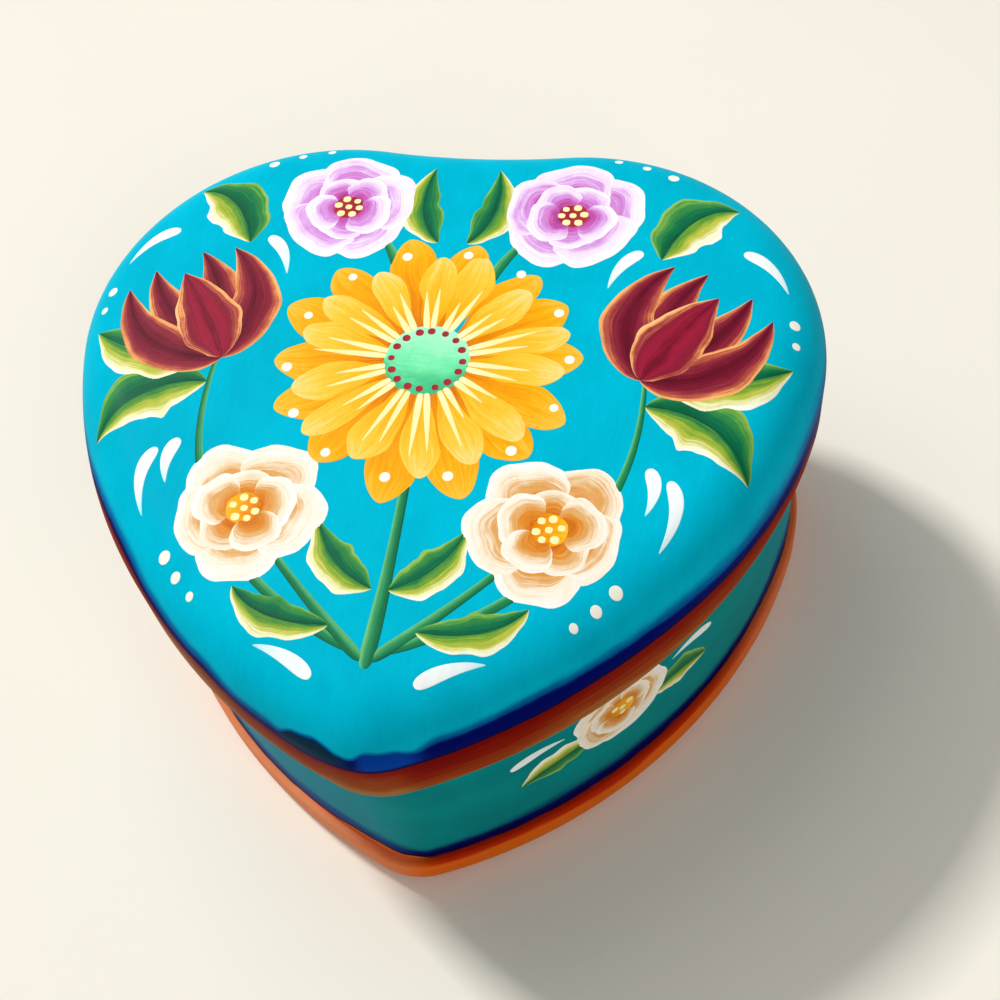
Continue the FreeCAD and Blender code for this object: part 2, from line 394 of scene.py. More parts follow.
@dataclass(frozen=True)
class ShadedLidPaint:
    """Turquoise lid paint that deepens to dark blue at the rim, over a red-orange edge band.

    The mesh carries rim, the distance along the profile from the painted line, positive over the top,
    core, the width of the dark blue from that line, fade, the width over which it thins out, inky and
    blot, 1 where touches of ink and of brighter blue lie on it, tone, which shifts the band's colours,
    and bare, 1 on unpainted wood. A border is where one colour gives way to the next, and a fray is how
    far the brush's streaks shift it.
    """

    turquoise: Colour = srgb(0, 188, 216)
    deep_turquoise: Colour = srgb(0, 177, 204)
    bright_blue: Colour = srgb(0, 62, 158)
    navy: Colour = srgb(0, 8, 96)
    ink: Colour = srgb(3, 3, 46)
    dark_teal: Colour = srgb(4, 48, 72)
    thinning: Stops = ((0.0, srgb(0, 46, 124)), (0.4, srgb(0, 106, 164)), (0.85, srgb(0, 150, 194)))
    # The band grades from dark red under the painted line to tan at the lower edge; that tan is partly wear
    # and partly a painted reflection of the pale floor in the rounded lower edge.
    band: Stops = (
        (0.0, srgb(116, 5, 1)), (0.3, srgb(134, 26, 6)), (0.65, srgb(150, 68, 24)),
        (0.88, srgb(160, 108, 56)), (1.0, srgb(152, 114, 68)))
    band_height: float = 9.0
    band_fray: float = 0.5
    mottle: Mottling = Mottling((0.11, 0.07, 0.11), 4.0, 0.6)
    mottle_border: Span = (0.3, 0.7)
    wobble: Mottling = Mottling((0.35, 0.35, 0.35), 3.0)
    wobble_reach: float = 0.5
    streak_plan_cells: float = 0.16
    streak_rim_cells: float = 1.5
    streak_detail: float = 4.0
    line_border: Span = (-0.1, 0.12)
    ink_border: Span = (0.0, 0.9)
    inky_border: Span = (0.3, 1.8)
    blot_border: Span = (0.2, 1.0)
    core_uneven: float = 0.4
    core_border: Span = (-0.15, 0.2)
    fade_fray: float = 0.35
    fade_border: Span = (0.4, 1.1)
    coat: Coat = Coat(bare_fray=0.5, grain=GROUND_GRAIN, grain_tone=0.16, grain_share=0.7,
                      sheen=Sheen(roughness=0.36, uneven=0.16, relief_depth=0.02, gloss=0.006))

    def streaks(self, paint: Paint, rim: Value) -> Value:
        """Give streaks that run round the heart: noise by the place seen from above and by the rim.

        Args:
            paint: The material.
            rim: The distance from the painted line.

        Returns:
            The noise, about 0 to 1.
        """
        plan = paint.place((self.streak_plan_cells, self.streak_plan_cells, 0.0))
        spot = paint.combine(paint.axis(plan, "X"), paint.axis(plan, "Y"), rim * self.streak_rim_cells)
        return paint.noise(spot, self.streak_detail)

    def shaded(self, paint: Paint, line: Value, streak: Value) -> Value:
        """Give the top's colour: ink and navy from the line to the core, thinner blues, then turquoise.

        Args:
            paint: The material.
            line: The distance from the painted line, with the hand's wobble.
            streak: The brush's streaks.

        Returns:
            The colour.
        """
        mottle = self.mottle.value(paint)
        core = paint.attribute("core") * (1 + mottle.swing(self.core_uneven))
        past = (line - core) / paint.attribute("fade") + streak.swing(self.fade_fray)
        top = paint.mix(paint.smooth(mottle, self.mottle_border), self.deep_turquoise, self.turquoise)
        dark = paint.mix(paint.smooth(line, self.ink_border), self.ink, self.navy)
        inky = paint.attribute("inky") * paint.smooth(line, self.inky_border)
        blot = paint.attribute("blot") * paint.smooth(line, self.blot_border)
        touched = paint.mix(blot, paint.mix(inky, dark, self.dark_teal), self.bright_blue)
        rimmed = paint.mix(paint.smooth(past, self.core_border), touched, paint.ramp(past, self.thinning))
        return paint.mix(paint.smooth(past, self.fade_border), rimmed, top)

    def material(self) -> bpy.types.Material:
        """Build the lid's paint.

        Returns:
            The material.
        """
        paint = Paint.named("lid_paint")
        rim = paint.attribute("rim")
        streak = self.streaks(paint, rim)
        line = rim + self.wobble.value(paint).swing(self.wobble_reach)
        level = paint.attribute("tone") - rim / self.band_height + streak.swing(self.band_fray)
        band = paint.ramp(level, self.band)
        painted = paint.mix(paint.smooth(line, self.line_border), band, self.shaded(paint, line, streak))
        return self.coat.material(paint, painted, streak)


@dataclass(frozen=True)
class WallPaint:
    """Turquoise wall paint that deepens to dark blue at the foot; the rim and inside are bare wood.

    The mesh carries rise, the height above the painted line at the foot, core, how far the dark blue rises
    from it, thin_and_sky_lit, 1 on the left flank, where the dark blue at the foot is thinner and lighter,
    partly paint and partly painted light, and where the turquoise turns lighter and bluer as a painted
    reflection of the sky, and bare, 1 on unpainted wood.
    """

    # Painted shade: the wall's turquoise is set darker than the lid's, for the shade that the wall stands
    # in under the lid.
    turquoise: Colour = srgb(0, 140, 139)
    deep_turquoise: Colour = srgb(0, 128, 130)
    # Lighter blue-turquoise of the painted sky reflection on the left flank.
    sea_blue: Colour = srgb(0, 142, 172)
    thin_blue: Colour = srgb(0, 84, 148)
    orange: Colour = srgb(214, 96, 40)
    foot: Stops = (
        (0.0, srgb(2, 4, 44)), (0.25, srgb(0, 8, 84)), (0.5, srgb(0, 8, 84)), (1.0, srgb(0, 92, 116)))
    sky_sheen_share: float = 0.8
    mottle: Mottling = Mottling((0.09, 0.09, 0.16), 4.0, 0.6)
    mottle_border: Span = (0.3, 0.7)
    streak: Mottling = Mottling((0.12, 0.12, 1.7), 4.0)
    wobble: Mottling = Mottling((0.25, 0.25, 0.25), 3.0)
    wobble_reach: float = 0.7
    core_uneven: float = 1.0
    core_fray: float = 0.3
    thin_border: Span = (0.0, 0.3)
    fade_border: Span = (0.6, 1.3)
    line_border: Span = (-0.15, 0.1)
    coat: Coat = Coat(bare_fray=0.4, grain=SIDE_GRAIN, grain_tone=0.16, grain_share=0.5,
                      sheen=Sheen(roughness=0.34, uneven=0.16, relief_depth=0.02, gloss=0.007))

    def material(self) -> bpy.types.Material:
        """Build the wall's paint.

        Returns:
            The material.
        """
        paint = Paint.named("wall_paint")
        thin_and_sky_lit = paint.attribute("thin_and_sky_lit")
        mottle = self.mottle.value(paint)
        streak = self.streak.value(paint)
        line = paint.attribute("rise") + self.wobble.value(paint).swing(self.wobble_reach)
        core = paint.attribute("core") * (1 + mottle.swing(self.core_uneven))
        reach = line / core + streak.swing(self.core_fray)
        plain = paint.mix(paint.smooth(mottle, self.mottle_border), self.deep_turquoise, self.turquoise)
        # Painted reflection: on the left flank the turquoise is mixed towards a lighter sea blue, and the
        # foot's dark blue turns a thinner, lighter blue, partly paint and partly painted light.
        wall = paint.mix(thin_and_sky_lit * self.sky_sheen_share, plain, self.sea_blue)
        thin = thin_and_sky_lit * paint.smooth(reach, self.thin_border)
        dark = paint.mix(thin, paint.ramp(reach, self.foot), self.thin_blue)
        shaded = paint.mix(paint.smooth(reach, self.fade_border), dark, wall)
        painted = paint.mix(paint.smooth(line, self.line_border), self.orange, shaded)
        return self.coat.material(paint, painted, streak)


@dataclass(frozen=True)
class BandPaint:
    """Red-orange paint of the base board, brushed round it, with bare wood underneath.

    The mesh carries rise, the height up the side and then in along the ledge, over, how far the wall's
    painted line stands above the ledge, ruddy, 1 where the upper edge is red, pale, 1 where a painted glare
    lightens the orange towards pale tan, mostly on the left flank that the light falls on, and bare, 1 on
    unpainted wood. The ledge ends in dark blue where the wall's foot has it.
    """

    navy: Colour = srgb(6, 8, 60)
    red: Colour = srgb(190, 40, 4)
    orange: Colour = srgb(230, 104, 12)
    tan: Colour = srgb(220, 116, 34)
    # Pale tan of the painted glare on the base's orange.
    glare_orange: Colour = srgb(230, 160, 122)
    height: float = 6.0
    shade_rise: float = 6.95
    painted_glare_share: float = 0.7
    streak: Mottling = Mottling((0.08, 0.08, 0.9), 4.0)
    fray: float = 0.5
    tan_border: Span = (0.0, 0.4)
    red_border: Span = (0.72, 0.98)
    line_border: Span = (-0.1, 0.2)
    coat: Coat = Coat(bare_fray=0.4, grain=SIDE_GRAIN, grain_tone=0.2, grain_share=0.6,
                      sheen=Sheen(roughness=0.36, uneven=0.16, relief_depth=0.02, gloss=0.015))

    def material(self) -> bpy.types.Material:
        """Build the base band's paint.

        Returns:
            The material.
        """
        paint = Paint.named("base_paint")
        rise = paint.attribute("rise")
        streak = self.streak.value(paint)
        level = rise / self.height + streak.swing(self.fray)
        plain = paint.mix(paint.smooth(level, self.tan_border), self.tan, self.orange)
        ruddy = paint.smooth(level, self.red_border) * paint.attribute("ruddy")
        edged = paint.mix(ruddy, plain, self.red)
        # Painted glare: where pale is high, mostly on the lit left flank, the orange is mixed towards a
        # pale tan.
        band = paint.mix(paint.attribute("pale") * self.painted_glare_share, edged, self.glare_orange)
        line = rise - paint.attribute("over") - self.shade_rise + streak.swing(self.fray)
        painted = paint.mix(paint.smooth(line, self.line_border), band, self.navy)
        return self.coat.material(paint, painted, streak)


class Load(Enum):
    """Which way the colours of a loaded brush lie on the stroke."""

    ACROSS = "across"
    ALONG = "along"


@dataclass(frozen=True)
class BrushPaint:
    """Thick paint from a brush loaded with several colours, with streaks along the stroke.

    The mesh carries along and across, 0 to 1 over each stroke, and seed, which differs by stroke. Cells
    are those of the noise over a stroke's length or width, a step times the seed sets the noise of the
    strokes apart, and a sway or reach is how far noise shifts the colours.
    """

    name: str
    stops: Stops
    load: Load = Load.ACROSS
    streak: float = 0.35
    bristles: float = 16.0
    sweep: float = 2.6
    sway_cells: Span = (3.0, 2.0)
    sway_step: float = 37.0
    lane_sway: float = 0.3
    length_sway: float = 0.12
    streak_step: float = 91.0
    streak_detail: float = 4.0
    streak_roughness: float = 0.65
    streak_share: float = 0.65
    streak_reach: float = 2.4
    hair_cells: float = 5.0
    hairs_per_bristle: float = 3.5
    hair_step: float = 53.0
    hair_tone: float = 0.1
    patches: Mottling = Mottling((0.45, 0.45, 0.45), 3.0, 0.6)
    patch_reach: float = 0.25
    seed_reach: float = 0.12
    grain: Mottling = GROUND_GRAIN
    grain_tone: float = 0.14
    relief_share: float = 0.5
    sheen: Sheen = Sheen(roughness=0.36, uneven=0.16, relief_depth=0.04, gloss=0.06)

    def material(self) -> bpy.types.Material:
        """Build the stroke's paint: colours by the place on the stroke, shifted by streaks and patches.

        Returns:
            The material.
        """
        paint = Paint.named(self.name)
        along = paint.attribute("along")
        across = paint.attribute("across")
        seed = paint.attribute("seed")
        sway = paint.noise(paint.combine(along * self.sway_cells[0], across * self.sway_cells[1],
                                         seed * self.sway_step))
        lane = across + sway.swing(self.lane_sway)
        bristles = lane * self.bristles
        streaks = paint.noise(paint.combine(along * self.sweep, bristles, seed * self.streak_step),
                              self.streak_detail, self.streak_roughness)
        hairs = paint.noise(paint.combine(along * self.hair_cells, bristles * self.hairs_per_bristle,
                                          seed * self.hair_step))
        place = lane if self.load is Load.ACROSS else along + sway.swing(self.length_sway)
        marks = paint.weighed(streaks, hairs, self.streak_share).swing(self.streak_reach * self.streak)
        patches = self.patches.value(paint).swing(self.patch_reach)
        colour = paint.ramp(place + seed.swing(self.seed_reach) + marks + patches, self.stops)
        grain = self.grain.value(paint)
        toned = paint.tone(colour, 1 + grain.swing(self.grain_tone) + hairs.swing(self.hair_tone))
        return paint.finish(toned, hairs, paint.weighed(streaks, hairs, self.relief_share), self.sheen)


@dataclass(frozen=True)
class Arc:
    """One arc of the outline's right half, run from its start angle to its end angle."""

    x: float
    y: float
    radius: float
    start: float
    end: float

    @property
    def bulge(self) -> float:
        """1 where the arc bulges out of the heart, -1 where it dents it."""
        return math.copysign(1.0, self.end - self.start)

    @property
    def length(self) -> float:
        """The arc's length."""
        return self.radius * abs(self.end - self.start)


@dataclass(frozen=True)
class HeartOutline:
    """Closed chain of tangent arcs, tip, side, lobe and notch, mirrored across the Y axis."""

    lobe: Point
    side: Point
    lobe_radius: float
    side_radius: float
    tip_radius: float
    notch_radius: float

    @classmethod
    def of_size(cls, half_width: float, length: float, lobe_offset: float = 17.2, tip_radius: float = 11.0,
                side_radius: float = 75.0, notch_radius: float = 84.0) -> "HeartOutline":
        """Work out a heart about the origin from its size and arcs.

        The side's centre lies where circles about the centres of tip and lobe cross.

        Args:
            half_width: Half the heart's width.
            length: Its length from the tip to the top of the lobes.
            lobe_offset: Distance of the lobes' centres from the Y axis.
            tip_radius: Radius of the tip.
            side_radius: Radius of the long sides.
            notch_radius: Radius of the dent between the lobes.

        Returns:
            The outline.
        """
        lobe_radius = half_width - lobe_offset
        tip = np.array([0.0, tip_radius - length / 2])
        lobe = np.array([lobe_offset, length / 2 - lobe_radius])
        spread = math.dist(lobe, tip)
        to_tip = side_radius - tip_radius
        along = (to_tip ** 2 - (side_radius - lobe_radius) ** 2 + spread ** 2) / (2 * spread)
        ahead = (lobe - tip) / spread
        aside = np.array([-ahead[1], ahead[0]])
        side = tip + ahead * along + aside * math.sqrt(to_tip ** 2 - along ** 2)
        return cls(tuple(lobe), tuple(side), lobe_radius, side_radius, tip_radius, notch_radius)

    def taken_in(self, inset: float, tip_radius: float) -> "HeartOutline":
        """Give the outline that lies inside this one by an inset, with a tip radius of its own."""
        return replace(self, lobe_radius=self.lobe_radius - inset, side_radius=self.side_radius - inset,
                       notch_radius=self.notch_radius + inset, tip_radius=tip_radius)

    def arcs(self) -> tuple[Arc, ...]:
        """Give the right half's arcs from the foot of the tip to the middle of the notch.

        The centres of tip and notch lie on the Y axis, where their arcs touch side and lobe.

        Returns:
            The arcs of tip, side, lobe and notch.
        """
        to_tip = self.side_radius - self.tip_radius
        to_notch = self.lobe_radius + self.notch_radius
        tip_height = self.side[1] - math.sqrt(to_tip ** 2 - self.side[0] ** 2)
        notch_height = self.lobe[1] + math.sqrt(to_notch ** 2 - self.lobe[0] ** 2)
        low = math.atan2(tip_height - self.side[1], -self.side[0])
        mid = math.atan2(self.lobe[1] - self.side[1], self.lobe[0] - self.side[0])
        high = math.atan2(notch_height - self.lobe[1], -self.lobe[0])
        foot = -QUARTER_TURN
        return (Arc(0.0, tip_height, self.tip_radius, foot, low),
                Arc(*self.side, self.side_radius, low, mid),
                Arc(*self.lobe, self.lobe_radius, mid, high),
                Arc(0.0, notch_height, self.notch_radius, high - math.pi, foot))

    def girth(self) -> float:
        """The whole outline's length."""
        return 2 * sum(arc.length for arc in self.arcs())

    def trace(self, run: Array, inset: Union[float, Array] = 0.0) -> tuple[Array, Array]:
        """Find points by their run round the outline, counter-clockwise from the foot of the tip.

        A run past half the girth is the mirror image of the run that is left. Its arc comes from the
        arcs' summed lengths, and its angle from the rest of the run over the arc's radius.

        Args:
            run: Lengths along the outline.
            inset: How far the points lie inside the outline.

        Returns:
            The points and the outward normals.
        """
        arcs = self.arcs()
        half = self.girth() / 2
        run = np.mod(run, 2 * half)
        mirror = np.where(run > half, -1.0, 1.0)
        folded = np.where(run > half, 2 * half - run, run)
        ends = np.cumsum([arc.length for arc in arcs])
        number = np.minimum(np.searchsorted(ends, folded), len(arcs) - 1)
        table = np.array([(arc.x, arc.y, arc.radius, arc.start, arc.bulge) for arc in arcs])[number]
        x, y, radius, start, bulge = np.moveaxis(table, -1, 0)
        passed = folded - np.concatenate([[0.0], ends])[number]
        angle = start + bulge * passed / radius
        normal = bulge[..., None] * np.stack([np.cos(angle), np.sin(angle)], -1)
        centre = np.stack([x, y], -1)
        points = centre + normal * (bulge * radius)[..., None] - normal * np.asarray(inset)[..., None]
        flip = np.stack([mirror, np.ones_like(mirror)], -1)
        return points * flip, normal * flip

    def depth(self, plan: Array) -> tuple[Array, Array]:
        """Find how far points lie inside the outline: the least distance to an arc that faces them.

        Args:
            plan: Points inside the heart.

        Returns:
            The depths and the outward normals of the nearest points of the outline.
        """
        folded = np.stack([np.abs(plan[..., 0]), plan[..., 1]], -1)
        slack = 1e-6
        depth = np.full(plan.shape[:-1], np.inf)
        normal = np.zeros(plan.shape)
        for arc in self.arcs():
            offset = folded - [arc.x, arc.y]
            reach = np.hypot(offset[..., 0], offset[..., 1])
            angle = np.arctan2(offset[..., 1], offset[..., 0])
            faces = (angle > min(arc.start, arc.end) - slack) & (angle < max(arc.start, arc.end) + slack)
            near = arc.bulge * (arc.radius - reach)
            closer = faces & (near < depth)
            depth = np.where(closer, near, depth)
            normal = np.where(closer[..., None], arc.bulge * offset / reach[..., None], normal)
        normal[..., 0] *= np.where(plan[..., 0] < 0, -1.0, 1.0)
        return depth, normal


def grid_quads(rows: int, columns: int, wrap_rows: bool) -> Array:
    """Number the quads between neighbouring rows and columns of a grid whose columns close.

    Args:
        rows: Number of rows.
        columns: Number of columns.
        wrap_rows: Whether the last row joins the first.

    Returns:
        The vertex numbers, one quad to a line.
    """
    index = np.arange(rows * columns).reshape(rows, columns)
    if wrap_rows:
        index = np.vstack([index, index[:1]])
    index = np.hstack([index, index[:, :1]])
    corners = (index[:-1, :-1], index[1:, :-1], index[1:, 1:], index[:-1, 1:])
    return np.stack(corners, -1).reshape(-1, 4)


def add_piece(name: str, vertices: Array, faces: list, attributes: dict[str, Array],
              material: bpy.types.Material, sharp: float = math.radians(35)) -> bpy.types.Object:
    """Make a mesh object whose place is in its mesh.

    Args:
        name: The piece's name.
        vertices: Points in millimetres.
        faces: Vertex numbers of each face.
        attributes: Numbers that each point carries, by name.
        material: The finish.
        sharp: Angle from which an edge is shaded sharp.

    Returns:
        The new object.
    """
    mesh = bpy.data.meshes.new(name)
    mesh.from_pydata((vertices * MM).tolist(), [], faces)
    for key, numbers in attributes.items():
        layer = mesh.attributes.new(key, "FLOAT", "POINT")
        layer.data.foreach_set("value", np.ascontiguousarray(numbers, np.float32).ravel())
    mesh.polygons.foreach_set("use_smooth", np.ones(len(mesh.polygons), bool))
    mesh.set_sharp_from_angle(angle=sharp)
    mesh.materials.append(material)
    piece = bpy.data.objects.new(name, mesh)
    bpy.context.scene.collection.objects.link(piece)
    return piece


def raised(plan: Array, height: Union[float, Array]) -> Array:
    """Give plan points their heights."""
    return np.concatenate([plan, np.broadcast_to(height, plan.shape[:-1])[..., None]], -1)


def capped_solid(name: str, rows: Array, attributes: dict[str, Array],
                 material: bpy.types.Material) -> bpy.types.Object:
    """Close rows of points that run round the heart with a pole at each end.

    Args:
        name: The piece's name.
        rows: Points of shape (rows, columns, 3), from the upper pole down to the lower one.
        attributes: Numbers of shape (rows, columns), by name.
        material: The finish.

    Returns:
        The new object.
    """
    count, columns = rows.shape[:2]
    poles = np.stack([rows[0].mean(0), rows[-1].mean(0)])
    vertices = np.concatenate([rows.reshape(-1, 3), poles])
    carried = {key: np.concatenate([grid.ravel(), [grid[0].mean(), grid[-1].mean()]])
               for key, grid in attributes.items()}
    here = np.arange(columns)
    after = np.roll(here, -1)
    last = (count - 1) * columns
    upper = np.stack([np.full(columns, count * columns), here, after], -1)
    lower = np.stack([last + here, np.full(columns, count * columns + 1), last + after], -1)
    faces = grid_quads(count, columns, False).tolist() + upper.tolist() + lower.tolist()
    return add_piece(name, vertices, faces, carried, material)


def brushed_round(shape: tuple[int, int], knots: Knots) -> Array:
    """Read a value off its knots round an outline, eased from each knot to the next.

    Between two knots the passed share of the way is eased by three squares less two cubes of it.

    Args:
        shape: Rows and columns of a grid whose columns run evenly round the outline from its tip.
        knots: Shares of the way round, from -0.5 on the left to 0.5 on the right, each with a value.

    Returns:
        The values, the same in every row.
    """
    shares, values = np.transpose(knots)
    shares = np.append(shares, shares[0] + 1)
    values = np.append(values, values[0])
    run = np.linspace(0, 1, shape[1], endpoint=False)
    place = np.mod(run - shares[0], 1.0) + shares[0]
    number = np.minimum(np.searchsorted(shares, place, "right"), len(knots)) - 1
    passed = (place - shares[number]) / (shares[number + 1] - shares[number])
    eased = passed ** 2 * (3 - 2 * passed)
    return np.broadcast_to(values[number] + (values[number + 1] - values[number]) * eased, shape)


@dataclass
class PaintedLid:
    """The lid board: a crowned top, a rolled edge, an upright band and a softened lower edge."""

    outline: HeartOutline
    crown_radius: float = 900.0
    roundover: float = 8.0
    lower_round: float = 1.5
    paint_allowance: float = 0.14
    columns: int = 480
    crown_rows: int = 14
    edge_rows: int = 18
    band_rows: int = 6
    lower_rows: int = 7
    inner_rows: int = 6
    pole_share: float = 0.04
    under_pole_share: float = 0.05
    under_rim: float = -20.0
    line_knots: Knots = (
        (-0.4, 0.0), (-0.23, 0.5), (-0.15, 3.2), (-0.08, 0.6), (-0.055, -1.6), (-0.03, -1.9),
        (-0.005, -0.4), (0.09, -0.2), (0.26, -4.8), (0.4, 0.0))
    core_knots: Knots = (
        (-0.45, 1.5), (-0.23, 1.0), (-0.16, 0.7), (-0.1, 1.0), (-0.038, 2.2), (-0.029, 4.3), (-0.021, 4.4),
        (-0.004, 2.2), (0.003, 3.5), (0.014, 3.3), (0.022, 2.2), (0.032, 2.8), (0.1, 2.7), (0.165, 2.1),
        (0.2, 2.2), (0.26, 4.2), (0.35, 2.5))
    fade_knots: Knots = (
        (-0.45, 4.0), (-0.22, 2.4), (-0.16, 2.0), (-0.042, 2.4), (-0.03, 0.8), (0.014, 0.9), (0.03, 1.5),
        (0.1, 1.8), (0.22, 4.6), (0.35, 4.5))
    inky_knots: Knots = ((-0.04, 0.0), (-0.031, 1.0), (-0.008, 1.0), (-0.003, 0.0))
    blot_knots: Knots = ((-0.003, 0.0), (0.002, 1.0), (0.016, 1.0), (0.028, 0.0))
    tone_knots: Knots = (
        (-0.45, 0.2), (-0.16, 0.22), (-0.03, 0.18), (0.0, 0.22), (0.009, 0.2), (0.024, -0.13),
        (0.06, -0.12), (0.085, 0.06), (0.2, 0.14), (0.3, 0.2))

    def __post_init__(self) -> None:
        """Take the heights from the frame."""
        low, high = node_span("lid_board")
        self.seat = low.z
        self.crown_foot = high.z - self.paint_allowance - self.crown_radius

    def crown(self, plan: Array) -> Array:
        """Height of the crown, a wide sphere about a point on the Z axis."""
        return self.crown_foot + np.sqrt(self.crown_radius ** 2 - (plan ** 2).sum(-1))

    def ball_height(self, plan: Array) -> Array:
        """Height of the centre of a ball that rolls under the crown and along the edge."""
        return self.crown_foot + np.sqrt((self.crown_radius - self.roundover) ** 2 - (plan ** 2).sum(-1))

    def lift(self, plan: Array, rise: Array) -> Array:
        """Lay plan points on the lid's top: on the crown, and near the rim on the rolling ball.

        Args:
            plan: Points seen from above.
            rise: Height of each point above the lid.

        Returns:
            The points in space.
        """
        depth, normal = self.outline.depth(plan)
        back = np.clip(self.roundover - depth, 0.0, self.roundover)
        centre = plan - normal * back[..., None]
        rolled = self.ball_height(centre) + np.sqrt(self.roundover ** 2 - back ** 2)
        height = np.where(back > 0, rolled, self.crown(plan))
        return raised(plan, height + rise)

    def brushwork(self, shape: tuple[int, int]) -> dict[str, Array]:
        """Give what the hand left round the rim: wide on the right, thin on the left, touches at the tip.

        Args:
            shape: Rows and columns of the lid's grid.

        Returns:
            What the paint reads, by name.
        """
        knots = {"core": self.core_knots, "fade": self.fade_knots, "inky": self.inky_knots,
                 "blot": self.blot_knots, "tone": self.tone_knots}
        return {key: brushed_round(shape, row) for key, row in knots.items()}

    def build(self, finish: ShadedLidPaint) -> bpy.types.Object:
        """Carry the profile round the outline: crown, ball's path, band, lower round, underside.

        Between crown and band the direction from the ball's centre turns evenly from the crown's
        normal to the outline's normal, as the rolling ball's touch does.

        Args:
            finish: The lid's paint.

        Returns:
            The lid's object.
        """
        run = np.linspace(0, self.outline.girth(), self.columns, endpoint=False)
        edge, normal = self.outline.trace(run)
        plan = edge - normal * self.roundover
        centre = raised(plan, self.ball_height(plan))
        crown_normal = (centre - [0, 0, self.crown_foot]) / (self.crown_radius - self.roundover)
        side_normal = raised(normal, 0.0)
        sweep = np.arccos((crown_normal * side_normal).sum(-1))[:, None]
        turn = np.linspace(0, 1, self.edge_rows)[:, None, None]
        blend = np.sin((1 - turn) * sweep) * crown_normal + np.sin(turn * sweep) * side_normal
        touch = blend / np.sin(sweep)
        rolled = centre + self.roundover * touch
        rolled_rim = (1 - turn[..., 0]) * sweep[:, 0] * self.roundover

        share = np.linspace(self.pole_share, 1, self.crown_rows, endpoint=False)[:, None, None]
        crown_plan = rolled[0, :, :2] * share
        crown = raised(crown_plan, self.crown(crown_plan))
        crown_rim = rolled_rim[0] + (1 - share[..., 0]) * np.hypot(*rolled[0, :, :2].T)

        fall = np.linspace(0, 1, self.band_rows + 1)[1:, None]
        top = centre[:, 2]
        foot = self.seat + self.lower_round
        band_height = top + (foot - top) * fall
        band = raised(np.broadcast_to(edge, (self.band_rows, *edge.shape)), band_height)

        angle = np.linspace(0, QUARTER_TURN, self.lower_rows + 1)[1:, None]
        tuck = self.lower_round * (1 - np.cos(angle))
        lower = raised(edge - normal * tuck[..., None], foot - self.lower_round * np.sin(angle))

        shrink = np.linspace(1, self.under_pole_share, self.inner_rows + 1)[1:, None, None]
        under = raised(lower[-1, :, :2] * shrink, self.seat)

        rows = np.concatenate([crown, rolled, band, lower, under])
        below = np.concatenate([band_height - top, foot - top - self.lower_round * angle,
                                np.full((self.inner_rows, self.columns), self.under_rim)])
        rim = np.concatenate([crown_rim, rolled_rim, below])
        bare = np.zeros(rim.shape)
        bare[-self.inner_rows:] = 1.0
        carried = {"rim": rim - brushed_round(rim.shape, self.line_knots), "bare": bare}
        carried |= self.brushwork(rim.shape)
        return capped_solid("painted_lid_board", rows, carried, finish.material())


